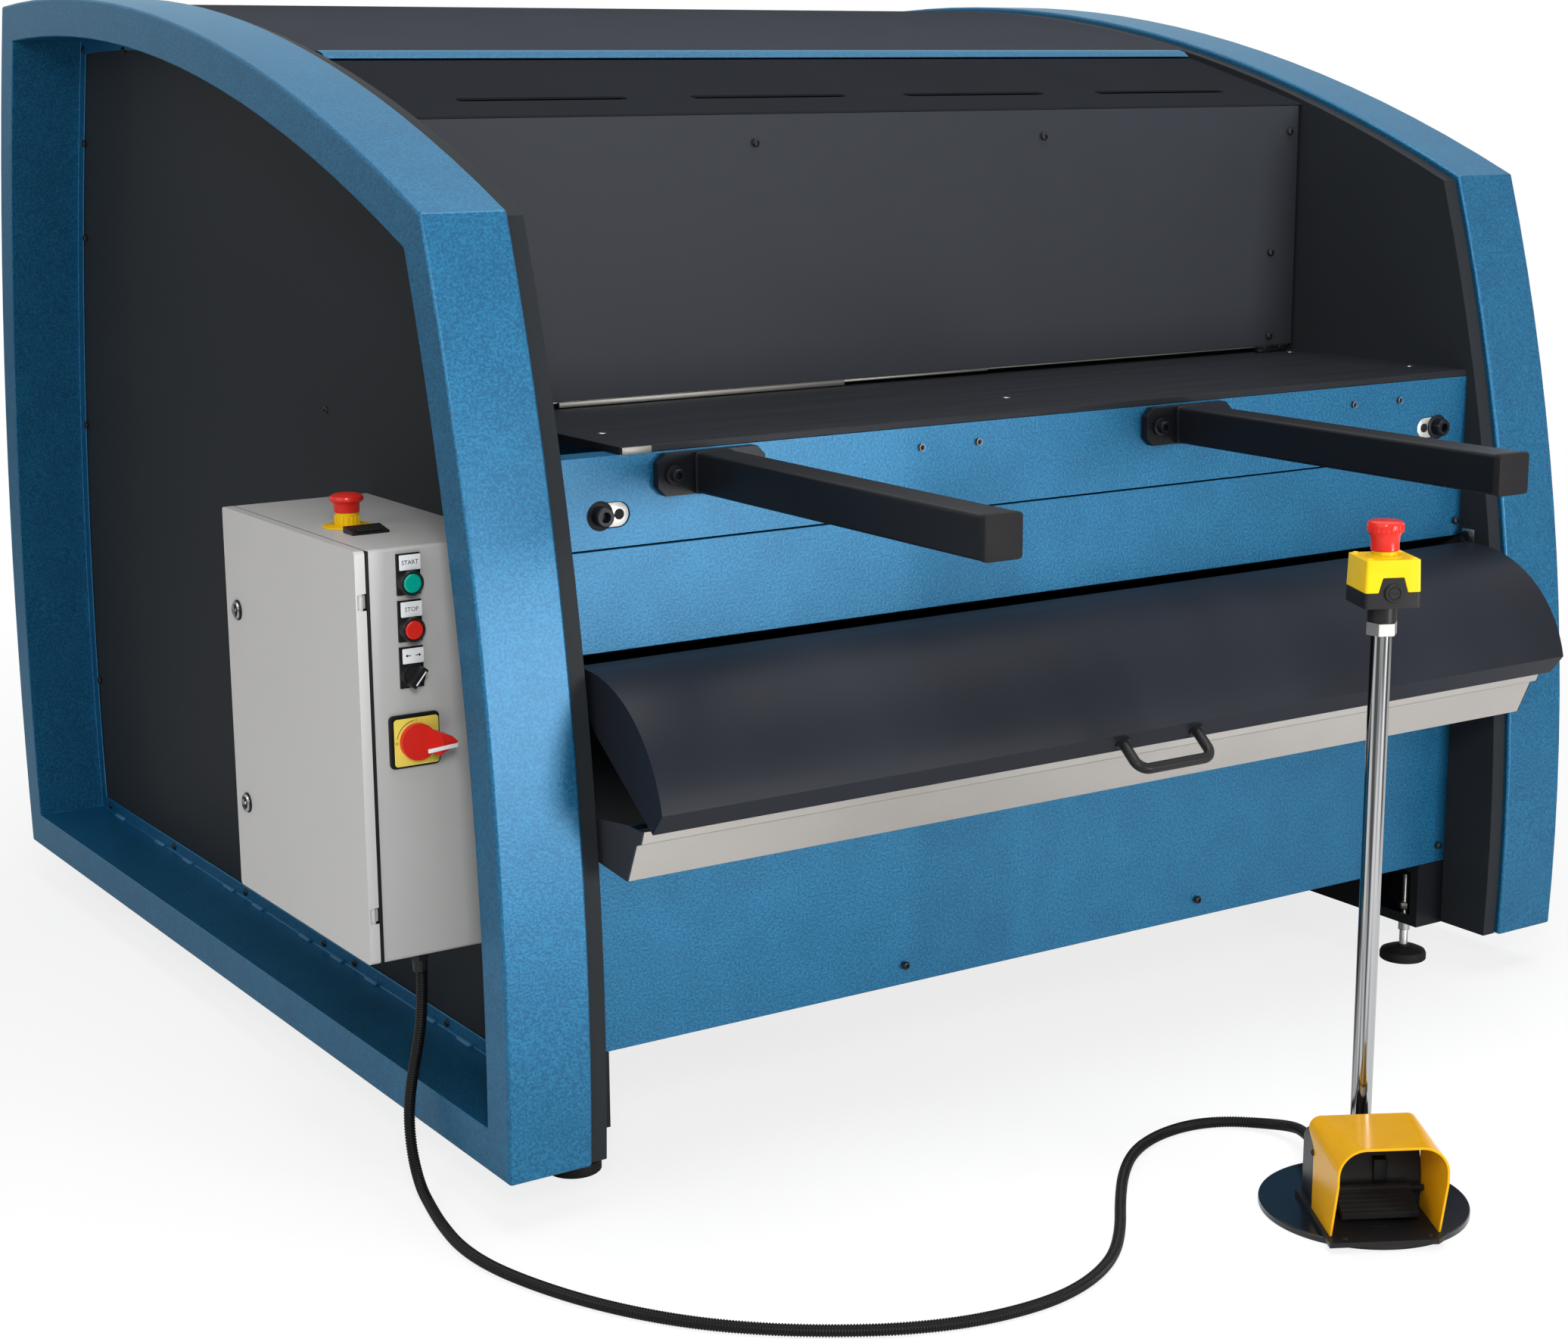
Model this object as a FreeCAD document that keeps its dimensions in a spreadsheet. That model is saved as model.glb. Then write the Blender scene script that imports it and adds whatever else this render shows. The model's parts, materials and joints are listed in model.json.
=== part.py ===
import FreeCAD
import Part
import Sketcher
import math
import os
from types import SimpleNamespace

# Motorized plate shear, in millimetres.
# Seen from the front, +X is to the right, +Y goes back from the operator and +Z is up.
# Sizes are counted from the floor, from the mid-plane between the side plates and from the
# front foot of the blue side frames. The datum then moves all to the middle of the base.

SIZES = {
    # Side frames: a blue ring outside a thick steel plate
    "clear_width": 1500,
    "plate_thick": 24,
    "plate_inset": 8,
    "ring_width": 111,
    "ring_band": 55,
    "ring_lift": 66,
    "ring_depth": 1752,
    "ring_front_height": 1181,
    "ring_front_lean": 150,
    "ring_back_height": 1437,
    "ring_back_lean": 138,
    "front_radius": 3060,
    "top_radius": 3100,
    "back_radius": 3840,
    "ring_chamfer": 2.5,
    "lip_width": 20,
    "lip_thick": 3,
    "fit_gap": 0.3,
    "pin_gap": 0.08,
    # Table, throat and front panels
    "face_y": 93.6,
    "table_height": 906,
    "table_thick": 9,
    "table_left_gap": 85,
    "table_under": 15,
    "beam_thick": 40,
    "beam_height": 109,
    "recess_in": 69,
    "recess_drop": 70,
    "recess_length": 56,
    "recess_width": 31,
    "recess_depth": 6,
    "tapped_left_in": 565,
    "tapped_right_in": 182,
    "tapped_pitch": 90,
    "tapped_drop": 26,
    "tapped_radius": 4.2,
    "tapped_depth": 18,
    "seam": 2,
    "panel_thick": 4,
    "upper_panel_height": 123,
    "lower_panel_bottom": 163.7,
    "panel_lap": 8,
    "sheet_thick": 3,
    "guard_y": 455,
    "guard_side_gap": 6,
    "guard_return": 22,
    "throat_gap": 9,
    "hold_bar_thick": 12,
    "hold_bar_height": 40,
    "vent_rise": 68.7,
    "trim_y": 711,
    "trim_run": 13,
    "trim_rise": 14,
    "trim_depth": 14,
    "trim_end_gap": 5,
    "vent_end_in": 100,
    "vent_between": 100,
    "vent_width": 16,
    "vent_up": 74,
    "cover_end_in": 14,
    "rear_inset": 12,
    "rear_split": 760,
    "rear_top_drop": 22,
    # Chute: cover, tray and slide
    "cover_gap": 6,
    "cover_flat_y": 50,
    "cover_radius": 175,
    "cover_reach": 171,
    "cover_drop": 138,
    "lip_run": 22,
    "lip_drop": 27,
    "cover_sheet": 2,
    "hinge_out": 14,
    "hinge_eye": 8,
    "hinge_pin": 4,
    "hinge_collar": 9,
    "end_low_y": 31,
    "end_low_drop": 73,
    "handle_centres": 122,
    "handle_reach": 45,
    "handle_radius": 7,
    "handle_bend": 16,
    "handle_foot_radius": 10,
    "handle_foot_thick": 3,
    "tray_gap": 1,
    "tray_rim_rise": 16,
    "tray_rim_run": 6,
    "tray_step_rise": 4,
    "tray_step_run": 11,
    "tray_front_rise": 48,
    "tray_front_run": 21.5,
    "tray_front_out": 135.1,
    "tray_fall": 14,
    "tray_side_gap": 9,
    "slide_top": 720,
    # Arms
    "arm_size": 49,
    "arm_round": 5,
    "arm_reach": 581.1,
    "arm_drop": 3,
    "arm_left_in": 204.5,
    "arm_right_in": 542.5,
    "flange_width": 150,
    "flange_height": 51,
    "flange_thick": 12,
    "flange_corner": 11,
    "flange_hole_radius": 5.5,
    "flange_hole_out": 54,
    # Base rails and levelling feet
    "rail_width": 53,
    "rail_wall": 3,
    "rail_back_in": 25,
    "window_front": 15,
    "window_length": 80,
    "window_sill": 15,
    "window_height": 68,
    "foot_front_y": 147,
    "foot_back_y": 1600,
    "foot_radius": 35,
    "foot_edge": 8,
    "foot_thick": 14,
    "foot_chamfer": 5,
    "stud_radius": 5,
    "stud_top": 134,
    "sleeve_radius": 6.3,
    "foot_nut_radius": 9.8,
    "foot_nut_height": 20,
    "lock_nut_lift": 10,
    "lock_nut_height": 11,
    # Electric cabinet
    "cabinet_front_y": 174.4,
    "cabinet_width": 402,
    "cabinet_bottom": 303.8,
    "cabinet_height": 497,
    "cabinet_depth": 181,
    "cabinet_wall": 2,
    "cabinet_round": 5,
    "door_thick": 13,
    "door_gap": 2.5,
    "door_hinge_in": 5,
    "door_pin_radius": 2.5,
    "door_eye_radius": 4.2,
    "door_eye_length": 16,
    "door_hinge_end": 60,
    "lock_in": 33,
    "lock_top_in": 127.3,
    "lock_low_in": 117.7,
    "lock_radius": 9,
    "lock_proud": 5,
    "key_width": 3,
    "control_in": 50.5,
    "control_down": 41.4,
    "control_pitch": 55.2,
    "holder_width": 30,
    "holder_height": 49,
    "holder_thick": 3,
    "holder_drop": 15,
    "bezel_radius": 14.5,
    "bezel_length": 9,
    "cap_radius": 11.5,
    "cap_proud": 4,
    "cap_edge": 1.5,
    "press_travel": 4,
    "selector_bar_width": 8,
    "selector_bar_length": 27,
    "selector_bar_depth": 13,
    "selector_hub_proud": 3,
    "selector_rest_angle": 40,
    "switch_up": 267,
    "switch_plate": 64,
    "switch_plate_round": 6,
    "switch_plate_thick": 4,
    "switch_hub_radius": 22,
    "switch_hub_length": 12,
    "switch_tip_reach": 40,
    "switch_tip_half": 7,
    "switch_bar_depth": 20,
    "estop_in": 52.5,
    "estop_back": 170,
    "estop_disc_radius": 30,
    "estop_disc_thick": 2,
    "estop_barrel_radius": 14.5,
    "estop_barrel_length": 18,
    "estop_neck_radius": 17,
    "estop_neck_length": 8.5,
    "estop_head_radius": 20,
    "estop_head_length": 14,
    "estop_stem_radius": 9,
    "neck_wall": 1.7,
    "counter_back": 115,
    "counter_width": 48,
    "counter_depth": 28,
    "counter_low": 3,
    "counter_high": 8,
    # Glands and conduit
    "gland_radius": 11,
    "gland_nut_length": 10,
    "gland_dome_radius": 9.5,
    "gland_length": 25,
    "cord_gap": 0.1,
    "conduit_radius": 7,
    "cabinet_gland_in": 124,
    "cabinet_gland_y": 20,
    "pedal_gland_side": -24,
    "pedal_gland_up": 21,
    # Pedal station: disc, pole, box and pedal
    "station_x": -2,
    "station_y": -496,
    "station_turn": -28.9,
    "disc_radius": 125,
    "disc_side": 6.4,
    "disc_back": 10.5,
    "disc_thick": 8,
    "pedal_width": 141,
    "pedal_front": 120,
    "pedal_length": 156,
    "pedal_corner": 12,
    "pedal_base_thick": 6,
    "slit_length": 20,
    "slit_width": 2,
    "slit_in": 40,
    "hood_width": 132,
    "hood_wall": 3,
    "hood_front_top": 124,
    "hood_front_low": 101,
    "hood_front_bend": 70,
    "hood_front_rise": 116,
    "hood_front_corner": 34,
    "hood_back_top": -3,
    "hood_back_low": 21,
    "hood_back_bend": 77,
    "hood_back_step": 14,
    "hood_back_rise": 107,
    "hood_back_corner": 14,
    "housing_front": 30,
    "housing_rise": 86,
    "housing_slope": 14,
    "housing_foot_rise": 42,
    "latch_width": 16,
    "latch_thick": 3,
    "latch_side": 12,
    "latch_rise": 64,
    "treadle_width": 92,
    "treadle_length": 44,
    "treadle_thick": 7,
    "treadle_tilt": 22,
    "treadle_ribs": 6,
    "treadle_rib": 1.5,
    "treadle_pivot": 40,
    "treadle_pivot_up": 30,
    "treadle_eye": 7,
    "treadle_pin": 3.5,
    "pole_side": 14,
    "pole_back": 61,
    "pole_radius": 12.5,
    "pole_wall": 1.5,
    "pole_top": 692,
    "box_turn": -24.0,
    "nut_radius": 19,
    "nut_height": 15,
    "nipple_radius": 17,
    "nipple_height": 21,
    "box_width": 68,
    "box_depth": 64,
    "box_round": 4,
    "box_low_height": 18.5,
    "box_top_height": 38,
    "box_taper": 2,
    "tongue_low_half": 17.5,
    "tongue_top_half": 12.3,
    "tongue_rise": 17,
    "tongue_depth": 3.7,
    "plug_radius": 11,
    "plug_proud": 1.2,
    "collar_radius": 15,
    "collar_height": 7,
    "skirt_radius": 18,
    "skirt_height": 21,
    "station_head_height": 13.5,
}


class Size:
    """A number together with the sheet formula that gives it."""

    def __init__(self, value, text):
        self.value = float(value)
        self.text = text

    def __add__(self, other):
        other = size_of(other)
        return Size(self.value + other.value, f"({self.text} + {other.text})")

    def __radd__(self, other):
        return size_of(other) + self

    def __sub__(self, other):
        other = size_of(other)
        return Size(self.value - other.value, f"({self.text} - {other.text})")

    def __rsub__(self, other):
        return size_of(other) - self

    def __mul__(self, other):
        other = size_of(other)
        return Size(self.value * other.value, f"({self.text} * {other.text})")

    def __rmul__(self, other):
        return size_of(other) * self

    def __truediv__(self, other):
        other = size_of(other)
        return Size(self.value / other.value, f"({self.text} / {other.text})")

    def __neg__(self):
        return Size(-self.value, f"(0 - {self.text})")

    def __float__(self):
        return self.value


def size_of(number):
    if isinstance(number, Size):
        return number
    return Size(number, f"({float(number)!r})")


doc = FreeCAD.newDocument("plate_shear")
sheet = doc.addObject("Spreadsheet::Sheet", "sizes")
for row, (alias, number) in enumerate(SIZES.items(), start=1):
    sheet.set(f"A{row}", alias)
    sheet.set(f"B{row}", str(number))
    sheet.setAlias(f"B{row}", alias)
doc.recompute()
size = SimpleNamespace(**{alias: Size(number, f"sizes.{alias}")
                          for alias, number in SIZES.items()})
pieces = []


def bind(thing, prop, number):
    thing.setExpression(prop, size_of(number).text)


class Frame:
    """A place on the floor plan, turned about the upright."""

    def __init__(self, x, y, turn=0.0):
        self.x = size_of(x)
        self.y = size_of(y)
        self.turn = float(turn)
        self.cos = math.cos(math.radians(self.turn))
        self.sin = math.sin(math.radians(self.turn))

    def at(self, x, y, z):
        if self.turn == 0.0:
            return self.x + x, self.y + y, size_of(z)
        return (self.x + x * self.cos - y * self.sin,
                self.y + x * self.sin + y * self.cos,
                size_of(z))

    def vector(self, x, y, z):
        return FreeCAD.Vector(*[float(part) for part in self.at(x, y, z)])

    def rotation(self):
        return FreeCAD.Rotation(FreeCAD.Vector(0, 0, 1), self.turn)


def arc_centre(start, end, radius):
    """Centre of the arc from start to end that bulges to the left of the way."""
    chord = end - start
    half = chord.Length / 2
    away = FreeCAD.Vector(chord.y, -chord.x, 0).normalize()
    return (start + end) * 0.5 + away * math.sqrt(max(radius ** 2 - half ** 2, 0))


# The outline of a side, seen along X: front, top and back arcs over a level foot
front_foot = FreeCAD.Vector(0, float(size.ring_lift), 0)
front_corner = FreeCAD.Vector(float(size.ring_front_lean), float(size.ring_front_height), 0)
back_corner = FreeCAD.Vector(float(size.ring_depth - size.ring_back_lean),
                             float(size.ring_back_height), 0)
back_foot = FreeCAD.Vector(float(size.ring_depth), float(size.ring_lift), 0)
front_centre = arc_centre(front_foot, front_corner, float(size.front_radius))
top_centre = arc_centre(front_corner, back_corner, float(size.top_radius))
back_centre = arc_centre(back_corner, back_foot, float(size.back_radius))


def crossing(centre, radius, other_centre, other_radius, near):
    """The point where two circles cross that lies nearest to a point."""
    apart = other_centre - centre
    along = (apart.Length ** 2 + radius ** 2 - other_radius ** 2) / (2 * apart.Length)
    across = math.sqrt(max(radius ** 2 - along ** 2, 0))
    way = apart.normalize()
    foot = centre + way * along
    side = FreeCAD.Vector(-way.y, way.x, 0) * across
    return min((foot + side, foot - side), key=lambda point: (point - near).Length)


def at_height(centre, radius, z, side):
    """Where a circle reaches a height, on its front (-1) or back (+1) side."""
    return FreeCAD.Vector(centre.x + side * math.sqrt(radius ** 2 - (z - centre.y) ** 2), z, 0)


def frame_outline(inset, foot_inset):
    """The side's outline, drawn in by a distance, with its foot raised by another."""
    front = float(size.front_radius - inset)
    top = float(size.top_radius - inset)
    back = float(size.back_radius - inset)
    foot_z = float(size.ring_lift + foot_inset)
    corners = (at_height(front_centre, front, foot_z, -1),
               crossing(front_centre, front, top_centre, top, front_corner),
               crossing(top_centre, top, back_centre, back, back_corner),
               at_height(back_centre, back, foot_z, 1))
    radii = (size.front_radius - inset, size.top_radius - inset, size.back_radius - inset)
    arcs = [(corner.x, corner.y, radius, 1) for corner, radius in zip(corners, radii)]
    return arcs + [(corners[3].x, corners[3].y)]


def on_top(y, inset):
    """Height of the side's top line, drawn in by a distance, at a depth y."""
    reach = float(size.top_radius - inset)
    return top_centre.y + math.sqrt(reach ** 2 - (float(y) - top_centre.x) ** 2)


def on_back(z, inset):
    """Depth of the side's back line, drawn in by a distance, at a height z."""
    reach = float(size.back_radius - inset)
    return back_centre.x + math.sqrt(reach ** 2 - (float(z) - back_centre.y) ** 2)


# Places that several pieces share
plate_inner_x = size.clear_width / 2
plate_outer_x = plate_inner_x + size.plate_thick
ring_outer_x = plate_outer_x + size.ring_width
cabinet_back_x = -plate_outer_x
cabinet_open_x = cabinet_back_x - size.cabinet_depth
door_inner_x = cabinet_open_x - size.door_gap
door_face_x = door_inner_x - size.door_thick
cabinet_top = size.cabinet_bottom + size.cabinet_height
table_bottom = size.table_height - size.table_thick
beam_bottom = table_bottom - size.beam_height
upper_panel_bottom = beam_bottom - size.seam - size.upper_panel_height
cover_top = upper_panel_bottom - size.cover_gap
pivot_y = size.face_y - size.hinge_out
pivot_z = cover_top - size.cover_sheet / 2
cover_lip_y = size.cover_flat_y - size.cover_reach
cover_lip_z = cover_top - size.cover_drop
lip_end_y = cover_lip_y + size.lip_run
lip_end_z = cover_lip_z - size.lip_drop
arm_middle_z = table_bottom - size.arm_drop - size.arm_size / 2
trim_top_z = on_top(size.trim_y + size.trim_run, size.plate_inset)
trim_low_z = trim_top_z - size.trim_rise
guard_top = trim_low_z - size.vent_rise
guard_bottom = size.table_height + size.throat_gap
pedal_floor = size.disc_thick + size.pedal_base_thick
housing_back = size.pedal_length - size.pedal_front

# The datum: the middle of the floor plan that the machine and its pedal cover
plan = Frame(size.station_x, size.station_y, size.station_turn)
front_points = (plan.at(size.hood_width / 2, -size.hood_front_top, 0)[1],
                plan.at(size.pedal_width / 2 - size.pedal_corner, -size.pedal_front, 0)[1],
                size.station_y - size.disc_radius)
front_reach = min(front_points, key=float)
left_reach = door_face_x - size.lock_proud
back_reach = back_centre.x + size.back_radius
datum_x = (ring_outer_x + left_reach) / 2
datum_y = (back_reach + front_reach) / 2
machine = Frame(-datum_x, -datum_y)
station = Frame(*machine.at(size.station_x, size.station_y, 0)[:2], size.station_turn)
pole_frame = Frame(*station.at(size.pole_side, size.pole_back, 0)[:2], size.box_turn)


def piece(thing, name):
    thing.Label = name
    pieces.append(thing)
    return thing


def put(thing, frame, x, y, z, rotation=None):
    """Place an object at a point of a frame, with its place bound to the sheet."""
    turn = frame.rotation()
    if rotation is not None:
        turn = turn.multiply(rotation)
    thing.Placement = FreeCAD.Placement(frame.vector(x, y, z), turn)
    for axis, place in zip("xyz", frame.at(x, y, z)):
        bind(thing, f"Placement.Base.{axis}", place)
    return thing


def box(name, frame, corner, extent):
    thing = doc.addObject("Part::Box", name)
    for prop, length in zip(("Length", "Width", "Height"), extent):
        bind(thing, prop, length)
    return put(thing, frame, *corner)


TURN_TO = {
    "z": FreeCAD.Rotation(),
    "-z": FreeCAD.Rotation(FreeCAD.Vector(1, 0, 0), 180),
    "x": FreeCAD.Rotation(FreeCAD.Vector(0, 1, 0), 90),
    "y": FreeCAD.Rotation(FreeCAD.Vector(1, 0, 0), -90),
    "-y": FreeCAD.Rotation(FreeCAD.Vector(1, 0, 0), 90),
}


def cylinder(name, frame, base, radius, length, way="z"):
    thing = doc.addObject("Part::Cylinder", name)
    bind(thing, "Radius", radius)
    bind(thing, "Height", length)
    return put(thing, frame, *base, rotation=TURN_TO[way])


def cone(name, frame, base, low_radius, high_radius, length, way="z"):
    thing = doc.addObject("Part::Cone", name)
    bind(thing, "Radius1", low_radius)
    bind(thing, "Radius2", high_radius)
    bind(thing, "Height", length)
    return put(thing, frame, *base, rotation=TURN_TO[way])


def hexagon(name, frame, base, radius, length, way="z"):
    thing = doc.addObject("Part::Prism", name)
    thing.Polygon = 6
    bind(thing, "Circumradius", radius)
    bind(thing, "Height", length)
    return put(thing, frame, *base, rotation=TURN_TO[way])


def cut(name, base, *tools):
    result = base
    for number, tool in enumerate(tools):
        step = doc.addObject("Part::Cut", f"{name}_cut{number}")
        step.Base = result
        step.Tool = tool
        result = step
    return result


def fuse(name, *shapes):
    thing = doc.addObject("Part::MultiFuse", name + "_fuse")
    thing.Shapes = list(shapes)
    return thing


def sketch_arc(start, end, radius, side):
    """An arc from start to end. Side +1 bulges to the left of the way, -1 to the right."""
    if side > 0:
        centre = arc_centre(start, end, radius)
    else:
        centre = arc_centre(end, start, radius)
    first = math.atan2(start.y - centre.y, start.x - centre.x)
    last = math.atan2(end.y - centre.y, end.x - centre.x)
    circle = Part.Circle(centre, FreeCAD.Vector(0, 0, 1), radius)
    if side > 0:
        return Part.ArcOfCircle(circle, last, first), 2, 1
    return Part.ArcOfCircle(circle, first, last), 1, 2


HALF_TURN_SHARE = 1.999


def outline(sketch, corners):
    """Draw a closed outline. A corner is (a, b) or (a, b, radius, side) for an arc onwards."""
    points = [FreeCAD.Vector(float(corner[0]), float(corner[1]), 0) for corner in corners]
    ends = []
    for index, corner in enumerate(corners):
        start = points[index]
        end = points[(index + 1) % len(points)]
        if len(corner) == 4:
            radius = float(corner[2])
            edge, first, last = sketch_arc(start, end, radius, corner[3])
            number = sketch.addGeometry(edge, False)
            if (end - start).Length > HALF_TURN_SHARE * radius:
                sketch.addConstraint(
                    Sketcher.Constraint("Symmetric", number, 1, number, 2, number, 3))
            else:
                rule = sketch.addConstraint(Sketcher.Constraint("Radius", number, radius))
                bind(sketch, f"Constraints[{rule}]", corner[2])
        else:
            first, last = 1, 2
            number = sketch.addGeometry(Part.LineSegment(start, end), False)
        ends.append((number, first, last))
    for index, corner in enumerate(corners):
        number, first, last = ends[index]
        before, _, before_last = ends[index - 1]
        sketch.addConstraint(
            Sketcher.Constraint("Coincident", before, before_last, number, first))
        for kind, place in zip(("DistanceX", "DistanceY"), corner[:2]):
            rule = sketch.addConstraint(
                Sketcher.Constraint(kind, -1, 1, number, first, float(place)))
            bind(sketch, f"Constraints[{rule}]", place)


def new_sketch(body, plane, name, loops):
    sketch = body.newObject("Sketcher::SketchObject", name)
    for feature in body.Origin.OriginFeatures:
        if feature.Role == plane:
            sketch.AttachmentSupport = [(feature, "")]
    sketch.MapMode = "FlatFace"
    for loop in loops:
        outline(sketch, loop)
    sketch.Visibility = False
    return sketch


def add_pad(body, plane, name, loops, length, reverse=False):
    pad = body.newObject("PartDesign::Pad", name)
    pad.Profile = new_sketch(body, plane, name + "_section", loops)
    bind(pad, "Length", length)
    pad.Reversed = reverse
    return pad


def extruded(name, plane, loops, length, reverse=False):
    """A body whose section, with its holes, is drawn on one plane and padded."""
    body = doc.addObject("PartDesign::Body", name)
    add_pad(body, plane, name + "_pad", loops, length, reverse)
    return body


def prism(name, frame, loops, left_x, length):
    """A profile in the Y-Z plane, carried to the right from left_x."""
    return put(extruded(name, "YZ_Plane", loops, length), frame, left_x, 0, 0)


def rounded(left, low, width, height, radius):
    """A rectangle with round corners."""
    right = left + width
    high = low + height
    return [
        (left + radius, low),
        (right - radius, low, radius, -1),
        (right, low + radius),
        (right, high - radius, radius, -1),
        (right - radius, high),
        (left + radius, high, radius, -1),
        (left, high - radius),
        (left, low + radius, radius, -1),
    ]


def slot_loop(middle_x, middle_y, length, width):
    """A long hole with round ends."""
    half = width / 2
    left = middle_x - length / 2 + half
    right = middle_x + length / 2 - half
    return [
        (left, middle_y - half),
        (right, middle_y - half, half, -1),
        (right, middle_y + half),
        (left, middle_y + half, half, -1),
    ]


def flat_edges(shape):
    """The names of the edges that lie across X."""
    return [f"Edge{number + 1}" for number, edge in enumerate(shape.Edges)
            if edge.BoundBox.XLength < 1e-6]


def add_pocket(body, name, loop, start, length):
    """Cut a profile out of a body, from a distance along X onwards."""
    pocket = body.newObject("PartDesign::Pocket", name)
    section = new_sketch(body, "YZ_Plane", name + "_section", [loop])
    bind(section, "AttachmentOffset.Base.z", start)
    pocket.Profile = section
    pocket.Reversed = True
    bind(pocket, "Length", length)


def side_ring(name, left_x, hollow_from):
    """A band with chamfered outer edges, and a thin lip inside it that bolts to the plate."""
    body = doc.addObject("PartDesign::Body", name)
    pad = add_pad(body, "YZ_Plane", name + "_pad", [frame_outline(0, 0)], size.ring_width)
    doc.recompute()
    chamfer = body.newObject("PartDesign::Chamfer", name + "_chamfer")
    chamfer.Base = (pad, flat_edges(pad.Shape))
    bind(chamfer, "Size", size.ring_chamfer)
    lip_inset = size.ring_band + size.lip_width
    add_pocket(body, name + "_window", frame_outline(lip_inset, lip_inset), size_of(0),
               size.ring_width)
    add_pocket(body, name + "_hollow", frame_outline(size.ring_band, size.ring_band),
               hollow_from, size.ring_width - size.lip_thick)
    return piece(put(body, machine, left_x, 0, 0), name)


side_ring("left_side_ring", -ring_outer_x, size_of(0))
side_ring("right_side_ring", plate_outer_x, size.lip_thick)
for name, left_x in (("left_side_plate", -plate_outer_x), ("right_side_plate", plate_inner_x)):
    piece(prism(name, machine, [frame_outline(size.plate_inset, 0)], left_x, size.plate_thick),
          name)


# Table: a steel top on a thick blue beam that carries the arms
def table():
    left_x = -plate_inner_x + size.table_left_gap
    piece(box("table_top", machine, (left_x, size.face_y, table_bottom),
              (plate_inner_x - left_x, size.guard_y + size.table_under - size.face_y,
               size.table_thick)), "table_top")
    bar = box("beam_bar", machine, (-plate_inner_x, size.face_y, beam_bottom),
              (size.clear_width, size.beam_thick, size.beam_height))
    tools = []
    recess_x = plate_inner_x - size.recess_in
    for label, x in (("left", -recess_x), ("right", recess_x)):
        recess = extruded("beam_recess_" + label, "XZ_Plane",
                          [slot_loop(0, 0, size.recess_length, size.recess_width)],
                          size.recess_depth * 2)
        put(recess, machine, x, size.face_y + size.recess_depth,
            table_bottom - size.recess_drop)
        tools.append(recess)
    for pair_x in (-plate_inner_x + size.tapped_left_in, plate_inner_x - size.tapped_right_in):
        for side in (-1, 1):
            tools.append(cylinder("tapped_hole", machine,
                                  (pair_x + size.tapped_pitch * side / 2, size.face_y - 1,
                                   table_bottom - size.tapped_drop),
                                  size.tapped_radius, size.tapped_depth + 1, "y"))
    piece(cut("table_beam", bar, *tools), "table_beam")


table()


# Front panels below the beam
def front_panels(lower_top):
    piece(box("upper_front_panel", machine, (-plate_inner_x, size.face_y, upper_panel_bottom),
              (size.clear_width, size.panel_thick, size.upper_panel_height)),
          "upper_front_panel")
    piece(box("lower_front_panel", machine,
              (-plate_inner_x, size.face_y, size.lower_panel_bottom),
              (size.clear_width, size.panel_thick, lower_top - size.lower_panel_bottom)),
          "lower_front_panel")


tray_rim_z = lip_end_z - size.tray_gap
tray_step_z = tray_rim_z - size.tray_rim_rise
tray_front_top_z = tray_step_z - size.tray_step_rise
tray_front_z = tray_front_top_z - size.tray_front_rise
tray_back_z = tray_front_z + size.tray_fall
lower_panel_top = tray_back_z + size.panel_lap
front_panels(lower_panel_top)


# Guard with bent-back ends, hold-down bar and the sloping panel with its long vents
def guard():
    half = plate_inner_x - size.guard_side_gap
    back = size.guard_y + size.guard_return
    inner_y = size.guard_y + size.sheet_thick
    loop = [
        (-half, size.guard_y),
        (half, size.guard_y),
        (half, back),
        (half - size.sheet_thick, back),
        (half - size.sheet_thick, inner_y),
        (-half + size.sheet_thick, inner_y),
        (-half + size.sheet_thick, back),
        (-half, back),
    ]
    face = extruded("front_guard", "XY_Plane", [loop], guard_top - guard_bottom)
    return piece(put(face, machine, 0, 0, guard_bottom), "front_guard")


guard()
piece(box("hold_down_bar", machine,
          (-plate_inner_x + size.guard_side_gap + size.sheet_thick + size.fit_gap,
           size.guard_y + size.sheet_thick + size.fit_gap, guard_bottom - size.sheet_thick),
          (size.clear_width - (size.guard_side_gap + size.sheet_thick + size.fit_gap) * 2,
           size.hold_bar_thick, size.hold_bar_height)), "hold_down_bar")


def vent_panel():
    run = size.trim_y - size.guard_y
    slope_length = Size(math.hypot(float(run), float(size.vent_rise)),
                        f"sqrt({(run * run + size.vent_rise * size.vent_rise).text})")
    slope_angle = math.degrees(math.atan2(float(size.vent_rise), float(run)))
    loops = [[
        (-plate_inner_x, size_of(0)),
        (plate_inner_x, size_of(0)),
        (plate_inner_x, slope_length),
        (-plate_inner_x, slope_length),
    ]]
    vent_length = (size.clear_width - size.vent_end_in * 2 - size.vent_between * 3) / 4
    for place in (-1.5, -0.5, 0.5, 1.5):
        loops.append(slot_loop((vent_length + size.vent_between) * place, size.vent_up,
                               vent_length, size.vent_width))
    body = extruded("vent_panel", "XY_Plane", loops, size.sheet_thick, reverse=True)
    tilt = FreeCAD.Rotation(FreeCAD.Vector(1, 0, 0), slope_angle)
    put(body, machine, 0, size.guard_y, guard_top + size.fit_gap + size.sheet_thick, rotation=tilt)
    return piece(body, "vent_panel")


vent_panel()


def trim_strip():
    """The blue edge in front of the top cover: a sloping riser with a level top."""
    rear_y = size.trim_y + size.trim_run + size.trim_depth
    rear_z = on_top(rear_y, size.plate_inset)
    foot_z = trim_low_z + size.sheet_thick * 2
    loop = [
        (size.trim_y, foot_z),
        (size.trim_y + size.trim_run, trim_top_z),
        (rear_y, rear_z),
        (rear_y, rear_z - size.sheet_thick),
        (size.trim_y + size.trim_depth, foot_z),
    ]
    half = plate_inner_x - size.trim_end_gap
    return piece(prism("trim_strip", machine, [loop], -half, half * 2), "trim_strip")


trim_strip()


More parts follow.
